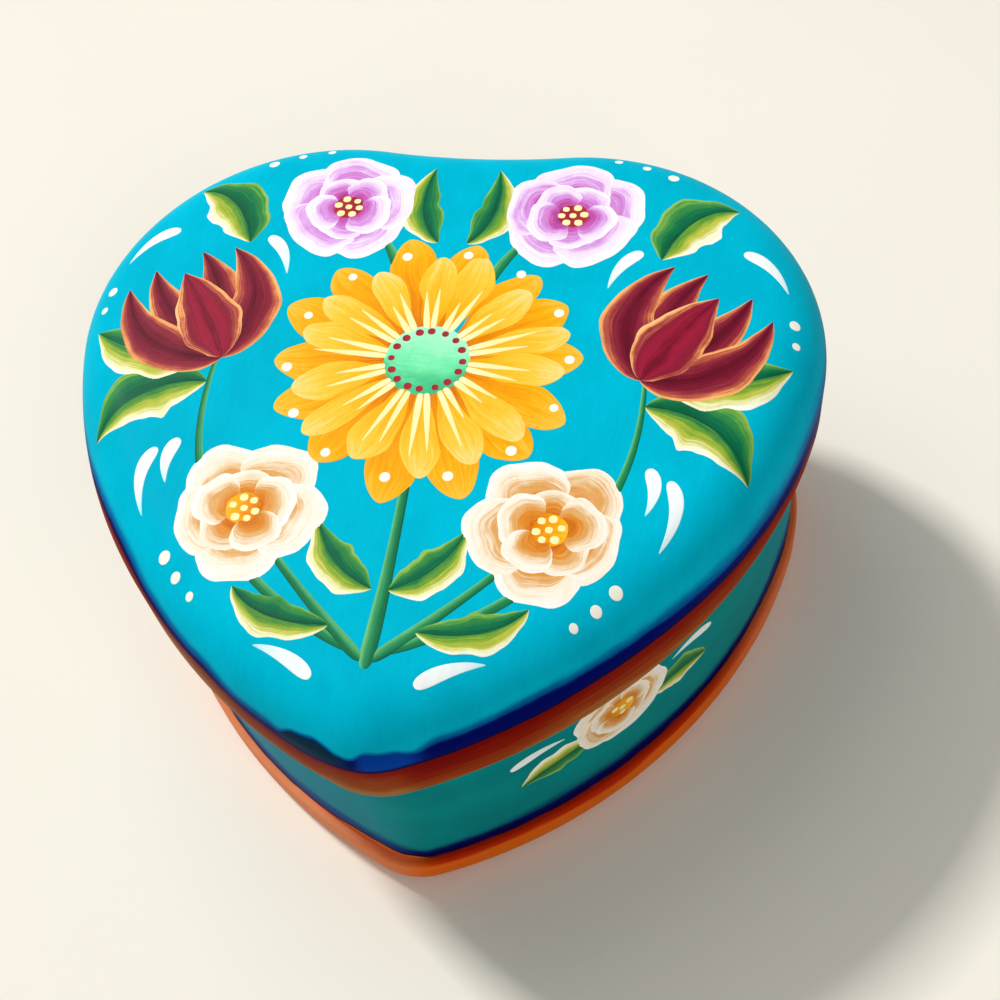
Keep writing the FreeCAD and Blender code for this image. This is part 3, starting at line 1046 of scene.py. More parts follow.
@dataclass
class PaintedBox:
    """The wall ring on its wider base board, and the plug that fits the ring's mouth."""

    outline: HeartOutline
    mouth_chamfer: float = 0.8
    rim_round: float = 0.5
    base_round: float = 2.0
    base_upper_round: float = 0.6
    plug_chamfer: float = 1.0
    plug_inner_share: float = 1.5
    plug_clearance: float = 0.5
    cavity_tip_radius: float = 4.0
    pole_margin: float = 0.5
    columns: int = 480
    round_rows: int = 8
    rim_rows: int = 5
    wall_rows: int = 16
    worn_rows: int = 2
    worn_share: float = 0.5
    line_knots: Knots = (
        (-0.075, 0.0), (-0.045, 0.9), (-0.03, 2.0), (-0.015, 2.2), (0.0, 1.1), (0.012, 0.0))
    core_knots: Knots = (
        (-0.4, 4.6), (-0.11, 6.0), (-0.05, 5.0), (-0.01, 4.0), (0.02, 3.2), (0.08, 4.5), (0.12, 4.2),
        (0.17, 3.4), (0.21, 3.6), (0.25, 5.0), (0.4, 4.6))
    # Left flank 1, right front 0: where the wall's foot blue is thinner and lighter and its turquoise takes
    # the painted sky reflection.
    thin_and_sky_lit_knots: Knots = (
        (-0.3, 0.5), (-0.1, 1.0), (-0.05, 0.9), (-0.015, 0.5), (0.01, 0.0), (0.18, 0.0), (0.26, 0.5))
    ruddy_knots: Knots = (
        (-0.3, 0.4), (-0.05, 0.0), (0.0, 0.2), (0.02, 1.0), (0.13, 1.0), (0.26, 0.3), (0.45, 0.6))
    # Where the base's orange carries a painted glare: strong on the left flank, none on the right front.
    painted_glare_knots: Knots = (
        (-0.3, 0.5), (-0.1, 0.8), (-0.04, 0.85), (-0.01, 0.45), (0.012, 0.0), (0.16, 0.0), (0.24, 0.35),
        (0.45, 0.2))

    def __post_init__(self) -> None:
        """Take the heights and the insets from the frame."""
        half_width = self.outline.lobe[0] + self.outline.lobe_radius
        _, base_high = node_span("base_board")
        _, wall_high = node_span("box_wall")
        plug_low, plug_high = node_span("lid_plug")
        self.base_top = base_high.z
        self.wall_top = wall_high.z
        self.plug_foot = plug_low.z
        self.base_inset = half_width - base_high.x
        self.wall_inset = half_width - wall_high.x
        plug_inset = half_width - plug_high.x
        self.cavity = self.outline.taken_in(plug_inset - self.plug_clearance, self.cavity_tip_radius)
        self.plug = self.outline.taken_in(plug_inset, self.cavity_tip_radius - self.plug_clearance)

    def rows(self, outline: HeartOutline, profile: Array) -> Array:
        """Carry a profile of insets and heights round an outline.

        Args:
            outline: The outline.
            profile: Insets and heights, one pair to a row.

        Returns:
            Points of shape (rows, columns, 3).
        """
        run = np.linspace(0, outline.girth(), self.columns, endpoint=False)
        points, _ = outline.trace(np.broadcast_to(run, (len(profile), self.columns)), profile[:, :1])
        return raised(points, profile[:, 1:])

    @staticmethod
    def quarter(middle: Point, radius: float, start: float, count: int) -> Array:
        """Give a quarter circle of profile points about a middle, turning from a start angle downwards."""
        angle = np.linspace(start, start + QUARTER_TURN, count)
        return np.stack([middle[0] - radius * np.cos(angle), middle[1] - radius * np.sin(angle)], -1)

    def build_wall(self, finish: WallPaint) -> bpy.types.Object:
        """Close the ring's profile: rim, outside, foot, inside and bevelled mouth.

        Args:
            finish: The wall's paint.

        Returns:
            The wall's object.
        """
        rim_foot = self.wall_top - self.rim_round
        rounded = self.quarter((self.wall_inset + self.rim_round, rim_foot), self.rim_round, -QUARTER_TURN,
                               self.rim_rows)
        levels = np.linspace(rim_foot, self.base_top, self.wall_rows)[1:]
        outside = np.stack([np.full(levels.size, self.wall_inset), levels], -1)
        inside = np.array([[0.0, self.base_top], [0.0, self.wall_top - self.mouth_chamfer],
                           [-self.mouth_chamfer, self.wall_top]])
        painted = self.rows(self.outline, np.concatenate([rounded, outside]))
        rows = np.concatenate([painted, self.rows(self.cavity, inside)])
        shape = rows.shape[:2]
        bare = np.zeros(shape)
        bare[:self.worn_rows] = self.worn_share
        bare[-len(inside):] = 1.0
        carried = {
            "core": brushed_round(shape, self.core_knots),
            "thin_and_sky_lit": brushed_round(shape, self.thin_and_sky_lit_knots),
            "rise": rows[..., 2] - self.base_top - brushed_round(shape, self.line_knots),
            "bare": bare,
        }
        faces = grid_quads(*shape, True).tolist()
        return add_piece("painted_box_wall", rows.reshape(-1, 3), faces, carried, finish.material())

    def build_base(self, finish: BandPaint) -> bpy.types.Object:
        """Close the base board: top, rounded upper edge, side, rounded lower edge and underside.

        Args:
            finish: The base's paint.

        Returns:
            The base's object.
        """
        upper_middle = (self.base_inset + self.base_upper_round, self.base_top - self.base_upper_round)
        upper = self.quarter(upper_middle, self.base_upper_round, -QUARTER_TURN, self.round_rows)
        lower_middle = (self.base_inset + self.base_round, self.base_round)
        lower = self.quarter(lower_middle, self.base_round, 0.0, self.round_rows)
        inner = self.outline.tip_radius - self.pole_margin
        profile = np.concatenate([[[inner, self.base_top]], upper, lower, [[inner, 0.0]]])
        rows = self.rows(self.outline, profile)
        shape = rows.shape[:2]
        bare = np.zeros(shape)
        bare[[0, -1]] = 1.0
        rise = np.maximum(profile[:, 1] + profile[:, 0] - self.base_inset, 0.0)[:, None]
        carried = {
            "over": brushed_round(shape, self.line_knots),
            "ruddy": brushed_round(shape, self.ruddy_knots),
            "pale": brushed_round(shape, self.painted_glare_knots),
            "rise": np.broadcast_to(rise, shape),
            "bare": bare,
        }
        return capped_solid("painted_base_board", rows, carried, finish.material())

    def build_plug(self, finish: BareWood) -> bpy.types.Object:
        """Close the lid's plug: glued face, side, bevelled lower edge and underside.

        Args:
            finish: The bare wood.

        Returns:
            The plug's object.
        """
        inner = self.plug_inner_share * self.plug_chamfer
        profile = np.array([[self.plug_chamfer, self.wall_top], [0.0, self.wall_top],
                            [0.0, self.plug_foot + self.plug_chamfer], [self.plug_chamfer, self.plug_foot],
                            [inner, self.plug_foot]])
        return capped_solid("wooden_lid_plug", self.rows(self.plug, profile), {}, finish.material())

    def lift(self, plan: Array, rise: Array) -> Array:
        """Lay a drawing on the wall: its x runs round the wall, and its y is the height.

        Args:
            plan: Points of the drawing.
            rise: How far each point stands out of the wall.

        Returns:
            The points in space.
        """
        points, _ = self.outline.trace(plan[..., 0], self.wall_inset - rise)
        return raised(points, plan[..., 1])


Canvas = Union[PaintedLid, PaintedBox]


def spread_out(count: int) -> Array:
    """Give shares from 0 to 1 that crowd towards both ends, as the cosine does."""
    return 0.5 - 0.5 * np.cos(np.linspace(0, math.pi, count))


@dataclass
class Strokes:
    """Brush strokes as pairs of borders of shape (strokes, points, 2), each on its own layer of paint."""

    first: Array
    second: Array
    layer: Array

    @classmethod
    def joined(cls, groups: Sequence["Strokes"]) -> "Strokes":
        """Put groups of strokes with as many points each into one."""
        return cls(*(np.concatenate([getattr(group, key) for group in groups])
                     for key in ("first", "second", "layer")))

    def placed(self, spot: Point, heading: float = 0.0, size: float = 1.0) -> "Strokes":
        """Turn, scale and move the strokes.

        Args:
            spot: Where the drawing's origin goes.
            heading: Turn in degrees, counter-clockwise.
            size: Scale.

        Returns:
            The placed strokes.
        """
        cosine = math.cos(math.radians(heading))
        sine = math.sin(math.radians(heading))
        turn = size * np.array([[cosine, sine], [-sine, cosine]])
        return Strokes(self.first @ turn + spot, self.second @ turn + spot, self.layer)

    def mirrored(self) -> "Strokes":
        """Give the strokes' mirror image across the Y axis."""
        return Strokes(self.first * MIRROR_ACROSS_Y, self.second * MIRROR_ACROSS_Y, self.layer)

    def both_sides(self) -> "Strokes":
        """Give the strokes together with their mirror image."""
        return Strokes.joined([self, self.mirrored()])


@dataclass(frozen=True)
class PaintRelief:
    """How thick the paint lies: one step for each layer, and a swelling that falls off at the borders."""

    step: float = 0.008
    swell: float = 0.024
    bury: float = 0.05
    end_power: int = 12
    side_power: int = 6
    across_points: int = 11
    sharp: float = math.radians(60)

    def faces(self, strokes: Strokes) -> Array:
        """Number the quads of every stroke: the ring of its two sides and a cap at each end.

        Where the second border lies to the right of the first, the quads are turned round.

        Args:
            strokes: The borders.

        Returns:
            The vertex numbers, one quad to a line.
        """
        count, points = strokes.first.shape[:2]
        columns = 2 * self.across_points
        quads = grid_quads(points, columns, False)
        near = np.arange(self.across_points - 1)
        cap = np.stack([near, near + 1, columns - 2 - near, columns - 1 - near], -1)
        end_cap = cap[:, ::-1] + (points - 1) * columns
        single = np.concatenate([quads, cap, end_cap])
        middle = points // 2
        ahead = strokes.first[:, middle + 1] - strokes.first[:, middle - 1]
        aside = strokes.second[:, middle] - strokes.first[:, middle]
        left = ahead[:, 0] * aside[:, 1] - ahead[:, 1] * aside[:, 0] > 0
        turned = np.where(left[:, None, None], single, single[:, ::-1])
        return (turned + np.arange(count)[:, None, None] * points * columns).reshape(-1, 4)

    def brush_on(self, name: str, canvas: Canvas, strokes: Strokes, paint: BrushPaint,
                 seed: int) -> bpy.types.Object:
        """Turn strokes into thin closed solids that lie on a canvas.

        A stroke's plan runs evenly from its first border to its second. Its upper side swells by the
        root of one less a high power of the distance from the middle, both along and across, and its
        lower side is buried in the canvas.

        Args:
            name: The piece's name.
            canvas: What the strokes lie on.
            strokes: The borders and layers.
            paint: The finish.
            seed: Start of the numbers that tell the strokes apart.

        Returns:
            The strokes' object.
        """
        count, points = strokes.first.shape[:2]
        along = np.linspace(0, 1, points)
        across = spread_out(self.across_points)
        plan = (strokes.first[:, :, None] * (1 - across[:, None])
                + strokes.second[:, :, None] * across[:, None])
        along_hump = np.sqrt(1 - np.abs(2 * spread_out(points) - 1) ** self.end_power)
        hump = along_hump[:, None] * np.sqrt(1 - np.abs(2 * across - 1) ** self.side_power)
        rise = strokes.layer[:, None, None] * self.step + self.swell * hump
        upper = canvas.lift(plan, rise)
        lower = canvas.lift(plan, np.full(rise.shape, -self.bury))
        ring = np.concatenate([upper, lower[:, :, ::-1]], 2)

        shape = ring.shape[:3]
        rng = np.random.default_rng(seed)
        carried = {
            "along": np.broadcast_to(along[:, None], shape),
            "across": np.broadcast_to(np.concatenate([across, across[::-1]]), shape),
            "seed": np.broadcast_to(rng.random(count)[:, None, None], shape),
        }
        faces = self.faces(strokes).tolist()
        return add_piece(name, ring.reshape(-1, 3), faces, carried, paint.material(), self.sharp)


@dataclass
class BrushShapes:
    """Drawings of single strokes and small figures, with hand-made unevenness.

    Points are those along each border. An uneven value is the share by which strokes differ, a ruffle
    the share by which a border waves and its number of waves, and of two powers the first moves the
    widest place along the stroke and the second rounds the ends.
    """

    seed: int
    points: int = 53
    thin: float = 0.04
    overlap_share: float = 0.1
    waver_pitch: Span = (1.2, 2.6)
    ruffle_waves: tuple[Span, ...] = ((1.0, 0.65), (1.9, 0.3), (4.3, 0.06))
    petal_reach_uneven: float = 0.06
    petal_width_uneven: float = 0.1
    petal_powers: Span = (1.8, 0.6)
    petal_ruffle: Span = (0.07, 1.6)
    petal_bend: float = 0.05
    petal_waver: float = 0.12
    petal_layer_step: float = 0.6
    shell_swing: float = 2.25
    shell_reach_uneven: float = 0.1
    shell_width_uneven: float = 0.12
    shell_ruffle: Span = (0.09, 2.3)
    shell_root_share: float = 0.12
    shell_layer_step: float = 0.5
    shell_layers: int = 3
    blossom_petals: int = 5
    blossom_roots: Span = (0.8, 0.6)
    blossom_layers: Span = (2.0, 3.6)
    blossom_front_turn: float = 36.0
    blossom_front_share: float = 0.66
    blade_waves: float = 2.4
    blade_uneven: float = 0.08
    blade_power: float = 0.9
    comma_powers: Span = (0.55, 0.8)
    line_taper: float = 0.55
    line_end_power: int = 14
    line_waver: float = 0.06
    dot_uneven: float = 0.12

    def __post_init__(self) -> None:
        """Start the run of random numbers that makes the hand uneven."""
        self.rng = np.random.default_rng(self.seed)
        self.share = spread_out(self.points)

    def uneven(self, count: int, amount: float) -> Array:
        """Give factors about 1, one to a stroke."""
        return 1 + amount * self.rng.uniform(-1, 1, count)

    def waver(self, count: int, amount: float) -> Array:
        """Give a gentle wave along each stroke, as a hand leaves it.

        Args:
            count: Number of strokes.
            amount: Height of the wave.

        Returns:
            The wave's heights, of shape (strokes, points).
        """
        phase = self.rng.uniform(0, FULL_TURN, (count, 1))
        pitch = self.rng.uniform(*self.waver_pitch, (count, 1))
        return amount * np.sin(FULL_TURN * pitch * self.share + phase)

    def ruffle(self, count: int, amount: float, waves: float) -> Array:
        """Give factors about 1 that wave along each stroke, a slow wave with two faster ones on it.

        Args:
            count: Number of strokes.
            amount: Share by which the factors vary.
            waves: Slow waves along a stroke.

        Returns:
            The factors, of shape (strokes, points).
        """
        turn = FULL_TURN * waves * self.share
        phases = self.rng.uniform(0, FULL_TURN, (len(self.ruffle_waves), count, 1))
        parts = [height * np.sin(pitch * turn + phase)
                 for (pitch, height), phase in zip(self.ruffle_waves, phases)]
        return 1 + amount * sum(parts)

    @staticmethod
    def turned(points: Array, heading: Array) -> Array:
        """Turn each stroke's points about the origin.

        Args:
            points: Points of shape (strokes, points, 2).
            heading: Each stroke's turn in radians.

        Returns:
            The turned points.
        """
        cosine = np.cos(heading)[:, None]
        sine = np.sin(heading)[:, None]
        x, y = points[..., 0], points[..., 1]
        return np.stack([x * cosine - y * sine, x * sine + y * cosine], -1)

    def ring(self, count: int, turn: float, uneven: float = 0.05) -> Array:
        """Give headings spaced round a circle, in radians, from a first one in degrees."""
        even = math.radians(turn) + FULL_TURN * np.arange(count) / count
        return even + self.rng.normal(0, uneven, count)

    @staticmethod
    def spots_round(heading: Array, radius: float) -> Array:
        """Give the spots on a circle that lie at the headings."""
        return radius * np.stack([np.cos(heading), np.sin(heading)], -1)

    def long_petals(self, heading: Array, inner: float, outer: float, half_width: float,
                    layer: float) -> Strokes:
        """Draw long petals: the half width follows the sine of a power of the share, to a power.

        Args:
            heading: Direction of each petal in radians.
            inner: Distance of the petals' roots from the flower's middle.
            outer: Distance of their tips.
            half_width: Half the width at the widest.
            layer: Layer of paint.

        Returns:
            The petals.
        """
        count = heading.size
        widest, rounding = self.petal_powers
        reach = outer * self.uneven(count, self.petal_reach_uneven)[:, None]
        x = inner + (reach - inner) * self.share
        width = half_width * self.uneven(count, self.petal_width_uneven)[:, None]
        width = width * np.sin(math.pi * self.share ** widest) ** rounding
        width = width * self.ruffle(count, *self.petal_ruffle)
        bend = self.rng.normal(0, self.petal_bend, (count, 1)) * x ** 2 / outer
        bend = bend + self.waver(count, self.petal_waver)
        first = np.stack([x, bend - width - self.thin], -1)
        second = np.stack([x, bend + width + self.thin], -1)
        layers = layer + self.petal_layer_step * (np.arange(count) % 2)
        return Strokes(self.turned(first, heading), self.turned(second, heading), layers)

    def shell_petals(self, heading: Array, inner: float, outer: float, half_width: float,
                     layer: float) -> Strokes:
        """Draw round petals as a brush turned about their root: the outer border is most of an oval.

        Args:
            heading: Direction of each petal in radians.
            inner: Distance of the petals' roots from the flower's middle.
            outer: Distance of their tips.
            half_width: Half the width at the widest.
            layer: Layer of paint.

        Returns:
            The petals.
        """
        count = heading.size
        root = self.shell_root_share
        swing = (2 * self.share - 1) * self.shell_swing
        reach = outer * self.uneven(count, self.shell_reach_uneven)[:, None]
        long = 0.5 * (reach - inner)
        wide = half_width * self.uneven(count, self.shell_width_uneven)[:, None]
        wave = self.ruffle(count, *self.shell_ruffle)
        outer_x = inner + long * (1 + wave * np.cos(swing))
        second = np.stack([outer_x, wide * wave * np.sin(swing)], -1)
        first = np.stack([inner + root * long * (1 + np.cos(swing)), root * wide * np.sin(swing)], -1)
        layers = layer + self.shell_layer_step * (np.arange(count) % self.shell_layers)
        return Strokes(self.turned(first, heading), self.turned(second, heading), layers)

    def blossom(self, turn: float, reach: float, half_widths: Span) -> Strokes:
        """Draw a round blossom: a ring of shell petals, and a smaller one between them in front.

        Args:
            turn: Direction of the first petal in degrees.
            reach: Distance of the back petals' tips from the middle.
            half_widths: Half the width of the back petals and of the front ones.

        Returns:
            The petals.
        """
        rings = zip((turn, turn + self.blossom_front_turn), self.blossom_roots,
                    (reach, self.blossom_front_share * reach), half_widths, self.blossom_layers)
        return Strokes.joined([
            self.shell_petals(self.ring(self.blossom_petals, start), inner, outer, half_width, layer)
            for start, inner, outer, half_width, layer in rings])

    def curve(self, ends: Array) -> tuple[Array, Array]:
        """Run curves from start by control to end point, each of two straight pulls blended evenly.

        Args:
            ends: Start, control and end points, of shape (strokes, 3, 2).

        Returns:
            The points and the normals to their left.
        """
        share = self.share[:, None]
        start, control, end = (ends[:, None, number] for number in range(3))
        points = (1 - share) ** 2 * start + 2 * share * (1 - share) * control + share ** 2 * end
        ahead = (1 - share) * (control - start) + share * (end - control)
        ahead = ahead / np.linalg.norm(ahead, axis=-1, keepdims=True)
        return points, np.stack([-ahead[..., 1], ahead[..., 0]], -1)

    def blades(self, ends: Array, half_width: float, side: float, layer: float, teeth: float,
               belly: float = 0.85) -> Strokes:
        """Draw halves of leaves or pointed petals, from the middle rib to one border.

        The half width follows the sine of a power of the share, with waves for teeth.

        Args:
            ends: Start, control and end points of the middle ribs.
            half_width: Half the width at the widest.
            side: 1 for the left half, -1 for the right one.
            layer: Layer of paint.
            teeth: Share by which the border waves.
            belly: Power that moves the widest place along the rib.

        Returns:
            The halves.
        """
        rib, normal = self.curve(ends)
        count = len(ends)
        wave = self.ruffle(count, teeth, self.blade_waves)
        width = half_width * self.uneven(count, self.blade_uneven)[:, None]
        width = width * np.sin(math.pi * self.share ** belly) ** self.blade_power
        border = rib + side * normal * (width * wave + self.thin)[..., None]
        lap = self.overlap_share * half_width * np.sin(math.pi * self.share) ** 2
        return Strokes(rib - side * normal * lap[:, None], border, np.full(count, layer))

    def commas(self, ends: Array, half_width: float, layer: float) -> Strokes:
        """Draw comma strokes: a round head that thins to a tail.

        The half width follows the sine of a power of the share, to a power.

        Args:
            ends: Start, control and end points.
            half_width: Half the width at the head.
            layer: Layer of paint.

        Returns:
            The strokes.
        """
        rib, normal = self.curve(ends)
        widest, rounding = self.comma_powers
        width = half_width * np.sin(math.pi * self.share ** widest) ** rounding
        offset = normal * (width + self.thin)[:, None]
        return Strokes(rib - offset, rib + offset, np.full(len(ends), layer))

    def lines(self, ends: Array, half_width: float, layer: float) -> Strokes:
        """Draw thin lines that taper evenly along their length and are rounded at both ends.

        Args:
            ends: Start, control and end points.
            half_width: Half the width at the start.
            layer: Layer of paint.

        Returns:
            The strokes.
        """
        rib, normal = self.curve(ends)
        count = len(ends)
        rounded = (1 - np.abs(2 * self.share - 1) ** self.line_end_power) ** 0.5
        width = half_width * (1 - self.line_taper * self.share) * rounded
        offset = normal * (width + self.thin + self.waver(count, self.line_waver * half_width))[..., None]
        return Strokes(rib - offset, rib + offset, np.full(count, layer))

    def dots(self, spots: Array, radius: Union[float, Array], layer: float) -> Strokes:
        """Draw round dots of paint, each as one stroke from its left to its right.

        Args:
            spots: The dots' middles.
            radius: One radius, or one for each dot.
            layer: Layer of paint.

        Returns:
            The dots.
        """
        count = len(spots)
        size = np.broadcast_to(radius, count)[:, None] * self.uneven(count, self.dot_uneven)[:, None]
        x = spots[:, :1] + size * (2 * self.share - 1)
        height = size * np.sqrt(np.clip(1 - (2 * self.share - 1) ** 2, 0, 1)) + self.thin
        first = np.stack([x, spots[:, 1:] - height], -1)
        second = np.stack([x, spots[:, 1:] + height], -1)
        return Strokes(first, second, np.full(count, layer))


def with_mirror(rib: Sequence[Point], mirror: Array) -> Array:
    """Give a rib's points together with their mirror image."""
    points = np.array(rib)
    return np.stack([points, points * mirror])


AMBER_PETAL = BrushPaint("amber_petal_paint", (
    (0.0, srgb(196, 84, 0)), (0.3, srgb(236, 140, 0)), (0.7, srgb(252, 178, 8)), (1.0, srgb(255, 200, 70))),
    Load.ALONG, 0.5, 12.0, 1.6)
GOLD_PETAL = BrushPaint("gold_petal_paint", (
    (0.0, srgb(236, 130, 0)), (0.28, srgb(255, 176, 0)), (0.68, srgb(255, 204, 60)),
    (1.0, srgb(253, 226, 140))), Load.ALONG, 0.5, 12.0, 1.6)
PALE_RAY = BrushPaint("pale_yellow_paint", (
    (0.0, srgb(255, 250, 190)), (1.0, srgb(255, 240, 160))), Load.ALONG, 0.2, 4.0)
MINT = BrushPaint("mint_paint", (
    (0.0, srgb(60, 190, 128)), (0.45, srgb(118, 238, 172)), (1.0, srgb(176, 250, 205))),
    Load.ACROSS, 0.3, 7.0)
MAROON_PETAL = BrushPaint("maroon_petal_paint", (
    (0.0, srgb(84, 10, 28)), (0.3, srgb(118, 20, 44)), (0.6, srgb(146, 44, 58)), (0.78, srgb(196, 100, 70)),
    (0.9, srgb(240, 164, 96)), (1.0, srgb(250, 188, 122))), Load.ACROSS, 0.4, 11.0)
CRIMSON_PETAL = BrushPaint("crimson_petal_paint", (
    (0.0, srgb(112, 14, 38)), (0.3, srgb(158, 28, 56)), (0.6, srgb(132, 26, 50)), (0.8, srgb(190, 92, 70)),
    (0.9, srgb(246, 172, 102)), (1.0, srgb(252, 196, 134))), Load.ACROSS, 0.4, 11.0)
PINK_PETAL = BrushPaint("pink_petal_paint", (
    (0.0, srgb(160, 44, 122)), (0.34, srgb(204, 96, 182)), (0.58, srgb(216, 152, 226)),
    (0.76, srgb(248, 222, 248)), (1.0, srgb(255, 252, 255))), Load.ACROSS, 0.38, 12.0)
PEACH_PETAL = BrushPaint("peach_petal_paint", (
    (0.0, srgb(196, 92, 6)), (0.34, srgb(224, 138, 40)), (0.58, srgb(228, 176, 108)),
    (0.76, srgb(252, 234, 206)), (1.0, srgb(255, 252, 244))), Load.ACROSS, 0.38, 12.0)
DARK_LEAF = BrushPaint("dark_leaf_paint", (
    (0.0, srgb(4, 78, 52)), (0.45, srgb(10, 112, 70)), (0.8, srgb(66, 148, 66)), (1.0, srgb(150, 190, 84))),
    Load.ACROSS, 0.4, 10.0)
LIGHT_LEAF = BrushPaint("light_leaf_paint", (
    (0.0, srgb(20, 118, 66)), (0.3, srgb(110, 160, 50)), (0.6, srgb(196, 198, 72)),
    (0.82, srgb(246, 244, 190)), (1.0, srgb(255, 255, 240))), Load.ACROSS, 0.45, 10.0)
STEM = BrushPaint("stem_paint", (
    (0.0, srgb(8, 96, 62)), (0.5, srgb(30, 136, 84)), (1.0, srgb(110, 190, 120))), Load.ACROSS, 0.3, 3.0)
WHITE = BrushPaint("white_paint", (
    (0.0, srgb(255, 255, 250)), (0.6, srgb(240, 252, 252)), (1.0, srgb(190, 240, 246))),
    Load.ALONG, 0.25, 4.0)
CREAM = BrushPaint("cream_dot_paint", (
    (0.0, srgb(255, 252, 226)), (1.0, srgb(255, 255, 246))), Load.ALONG, 0.2, 3.0)
ROSE_DOT = BrushPaint("crimson_dot_paint", (
    (0.0, srgb(150, 30, 50)), (1.0, srgb(180, 52, 60))), Load.ALONG, 0.2, 3.0)


@dataclass
class FlowerSpray:
    """A folk bouquet on the lid: a daisy between tulips, round blossoms and leaves on curved stems."""

    lid: PaintedLid
    relief: PaintRelief
    seed: int = 11
    dot_points: int = 13
    stem_half_width: float = 0.75
    middle_stem_half_width: float = 0.9
    large_leaf_half_width: float = 4.4
    small_leaf_half_width: float = 2.7
    leaf_teeth: float = 0.13
    leaf_layer_step: float = 0.4
    daisy_spot: Point = (0.0, 5.0)
    daisy_petals: int = 14
    daisy_reach: float = 20.5
    daisy_front_share: float = 0.86
    daisy_back_turn: float = 5.0
    daisy_front_turn: float = 18.0
    daisy_eye: float = 5.6
    eye_dots: int = 16
    eye_dot_share: float = 0.82
    tip_dot_share: float = 0.88
    dot_uneven: float = 0.02
    ray_start: float = 5.0
    ray_share: float = 0.62
    ray_middle_share: float = 0.6
    ray_uneven: float = 0.2
    ray_headings: Span = (-0.07, 0.08)
    tulip_spot: Point = (27.0, 4.0)
    tulip_heading: float = 58.0
    tulip_teeth: float = 0.07
    tulip_belly: float = 0.75
    tulip_layer_step: float = 0.2
    pink_spot: Point = (15.5, 31.0)
    peach_spot: Point = (18.5, -18.5)
    blossom_reach: float = 9.4
    blossom_half_widths: Span = (5.6, 3.6)
    blossom_heart: float = 2.3
    blossom_eye_dots: int = 6
    blossom_eye: float = 1.5

    def __post_init__(self) -> None:
        """Start the hand that draws."""
        self.hand = BrushShapes(self.seed)
        self.small_hand = BrushShapes(self.seed + 1, self.dot_points)
        self.pieces: list[bpy.types.Object] = []

    def brush_on(self, name: str, strokes: Strokes, paint: BrushPaint) -> None:
        """Paint strokes on the lid as one piece."""
        seed = self.seed + len(self.pieces)
        self.pieces.append(self.relief.brush_on(name, self.lid, strokes, paint, seed))

    def leaves(self, name: str, ribs: Array, half_width: float, layer: float) -> None:
        """Paint leaves of a dark and a light half on both sides of the heart.

        Args:
            name: Start of the pieces' names.
            ribs: Start, control and end points of the right side's middle ribs.
            half_width: Half a leaf's width.
            layer: Layer of paint.
        """
        dark = self.hand.blades(ribs, half_width, 1.0, layer, self.leaf_teeth)
        light = self.hand.blades(ribs, half_width, -1.0, layer + self.leaf_layer_step, self.leaf_teeth)
        self.brush_on(f"{name}_dark_halves", dark.both_sides(), DARK_LEAF)
        self.brush_on(f"{name}_light_halves", light.both_sides(), LIGHT_LEAF)

    def paint_stems(self) -> None:
        """Paint the stems that fan out from above the heart's tip."""
        ribs = np.array([
            [(0.5, -37.0), (12.0, -27.0), (18.5, -18.5)],
            [(1.5, -36.0), (30.0, -24.0), (27.5, 5.0)],
            [(6.0, 18.0), (8.0, 26.0), (15.5, 31.0)],
        ])
        stems = self.hand.lines(ribs, self.stem_half_width, layer=0.0)
        self.brush_on("stems", stems.both_sides(), STEM)
        middle = np.array([[(0.0, -38.0), (1.2, -24.0), (0.0, 2.0)]])
        self.brush_on("middle_stem", self.hand.lines(middle, self.middle_stem_half_width, layer=0.0), STEM)

    def paint_leaves(self) -> None:
        """Paint the leaves beside the flowers."""
        large = np.array([
            [(28.0, 24.0), (31.0, 33.0), (37.5, 34.0)],
            [(28.0, 0.0), (37.0, 0.0), (41.0, -9.0)],
            [(29.0, 5.0), (38.0, 2.0), (45.5, 8.0)],
        ])
        small = np.array([
            [(5.0, -33.0), (14.0, -34.0), (17.5, -29.0)],
            [(1.0, -28.0), (7.0, -26.0), (9.0, -19.5)],
            [(2.0, 25.0), (7.0, 30.0), (4.5, 39.0)],
        ])
        self.leaves("large_leaves", large, self.large_leaf_half_width, layer=1.0)
        self.leaves("small_leaves", small, self.small_leaf_half_width, layer=1.2)

    def paint_daisy(self) -> None:
        """Paint the daisy: two rings of petals, pale rays, a mint eye and dots."""
        count = self.daisy_petals
        back = self.hand.long_petals(self.hand.ring(count, self.daisy_back_turn), inner=4.0,
                                     outer=self.daisy_reach, half_width=3.1, layer=2.0)
        front_reach = self.daisy_front_share * self.daisy_reach
        front = self.hand.long_petals(self.hand.ring(count, self.daisy_front_turn), inner=3.5,
                                      outer=front_reach, half_width=2.7, layer=3.2)
        self.brush_on("daisy_back_petals", back.placed(self.daisy_spot), AMBER_PETAL)
        self.brush_on("daisy_front_petals", front.placed(self.daisy_spot), GOLD_PETAL)

        heading = np.repeat(self.hand.ring(count, self.daisy_front_turn, 0.0), 2)
        heading = heading + np.tile(self.ray_headings, count)
        length = self.ray_share * self.daisy_reach * self.hand.uneven(2 * count, self.ray_uneven)
        ends = np.stack([np.full(2 * count, self.ray_start), length * self.ray_middle_share, length], -1)
        ends = np.stack([ends, np.zeros(ends.shape)], -1)
        rays = self.hand.commas(self.hand.turned(ends, heading), half_width=0.42, layer=4.4)
        self.brush_on("daisy_rays", rays.placed(self.daisy_spot), PALE_RAY)

